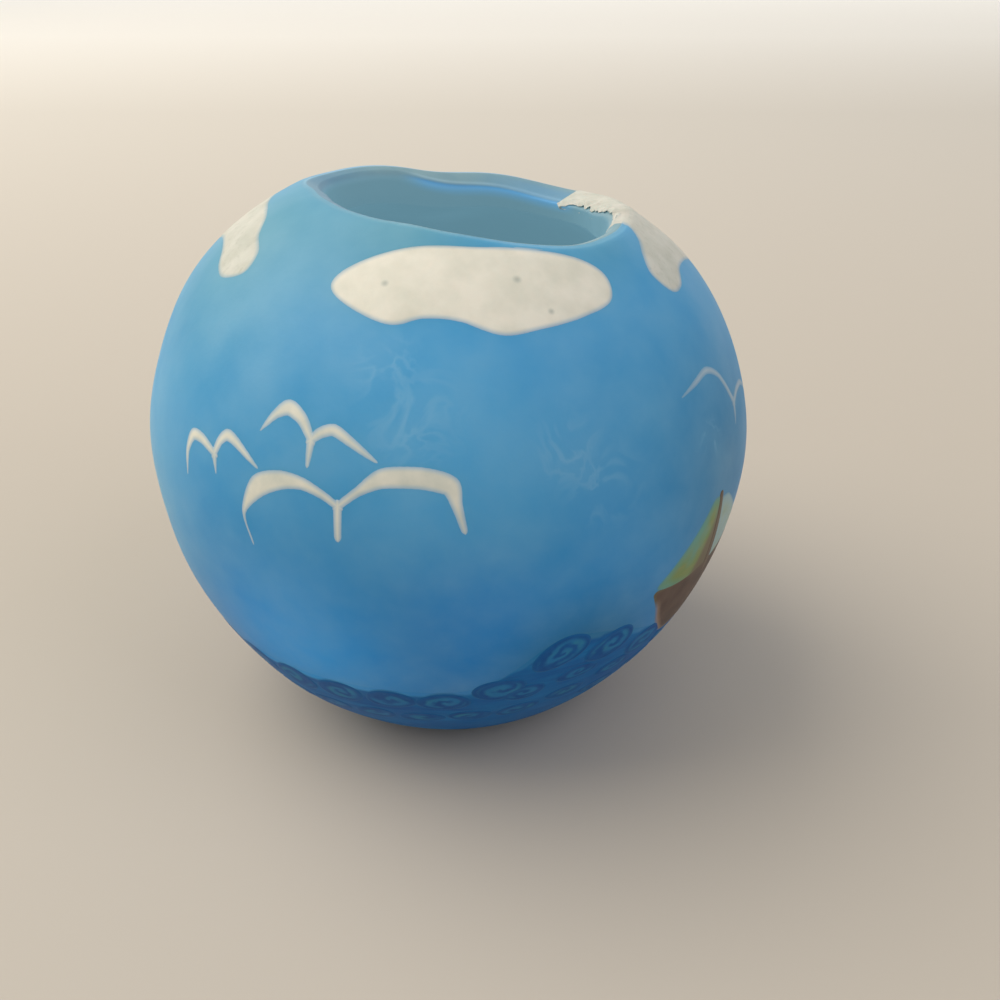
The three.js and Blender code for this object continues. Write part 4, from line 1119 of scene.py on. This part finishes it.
# The room: a pale floor that curves up into a backdrop, one large soft lamp high on the left and behind,
# a weaker one on the right, and an even pale light all round.
floor_reach, back_reach, cove = 2.5, 3.2, 0.8
backdrop_height = 3.5
half_width = 3.5
cove_angles = np.radians(np.linspace(0, 90, 24))
cove_y = np.concatenate([[-floor_reach], back_reach + cove * np.sin(cove_angles), [back_reach + cove]])
cove_z = np.concatenate([[0.0], cove * (1 - np.cos(cove_angles)), [backdrop_height]])
cove_x = np.array([-half_width, half_width])
cove_points = np.stack([
    np.tile(cove_x, len(cove_y)), np.repeat(cove_y, 2), np.repeat(cove_z, 2)], -1)
cove_faces = [(2 * k, 2 * k + 1, 2 * k + 3, 2 * k + 2) for k in range(len(cove_y) - 1)]
floor_mesh = bpy.data.meshes.new("floor")
floor_mesh.from_pydata(cove_points.tolist(), [], cove_faces)
floor_mesh.shade_smooth()
floor_paper, paper_tree, paper, paper_place = new_material("matt background paper")
away_back = add_node(paper_tree, "SeparateXYZ", {0: paper_place}, "Y")
far = add_node(paper_tree, "MapRange", {"Value": away_back, "From Min": 0.1, "From Max": 1.3})
paper_colour = add_node(paper_tree, "Mix", {0: far, 6: "#beb7ac", 7: "#e4e1da"}, 2, data_type="RGBA")
paper_tree.links.new(paper_colour, paper.inputs["Base Color"])
paper.inputs["Roughness"].default_value = 0.9
lit = add_node(paper_tree, "MapRange", {
    "Value": away_back, "From Min": 0.7, "From Max": 2.2, "To Max": 0.42})
paper.inputs["Emission Color"].default_value = linear("#f4f2ee")
paper_tree.links.new(lit, paper.inputs["Emission Strength"])
floor_mesh.materials.append(floor_paper)
floor = bpy.data.objects.new("floor", floor_mesh)
bpy.context.scene.collection.objects.link(floor)


def soft_lamp(name, place, size, watts, hex_colour):
    """A square lamp of a size that faces the candle's middle."""
    lamp = bpy.data.lights.new(name, "AREA")
    lamp.size = size
    lamp.energy = watts
    lamp.color = linear(hex_colour)[:3]
    holder = bpy.data.objects.new(name, lamp)
    away = np.array(place) - centre * in_metres
    holder.location = place
    tilt = np.arccos(away[2] / np.linalg.norm(away))
    holder.rotation_euler = (tilt, 0, np.arctan2(away[1], away[0]) + np.pi / 2)
    bpy.context.scene.collection.objects.link(holder)


soft_lamp("window", (-1.1, 0.2, 1.3), 1.8, 30.0, "#fff6e8")
soft_lamp("fill", (1.2, -0.6, 1.2), 1.2, 6.0, "#f2f0ff")
world = bpy.data.worlds.new("room")
world.use_nodes = True
world.node_tree.nodes["Background"].inputs["Color"].default_value = linear("#f4f2ee")
world.node_tree.nodes["Background"].inputs["Strength"].default_value = 0.55
bpy.context.scene.world = world

# The camera: where the photograph was taken from, looking down on the candle over its front lip.
camera = bpy.data.objects.new("camera", bpy.data.cameras.new("camera"))
camera.data.lens = 37.87
camera.data.sensor_width = 36.0
camera.location = (0.009493, -0.183750, 0.138994)
camera.rotation_euler = (np.radians(60.86), 0, 0)
bpy.context.scene.collection.objects.link(camera)
bpy.context.scene.camera = camera
bpy.context.scene.view_settings.view_transform = "Standard"
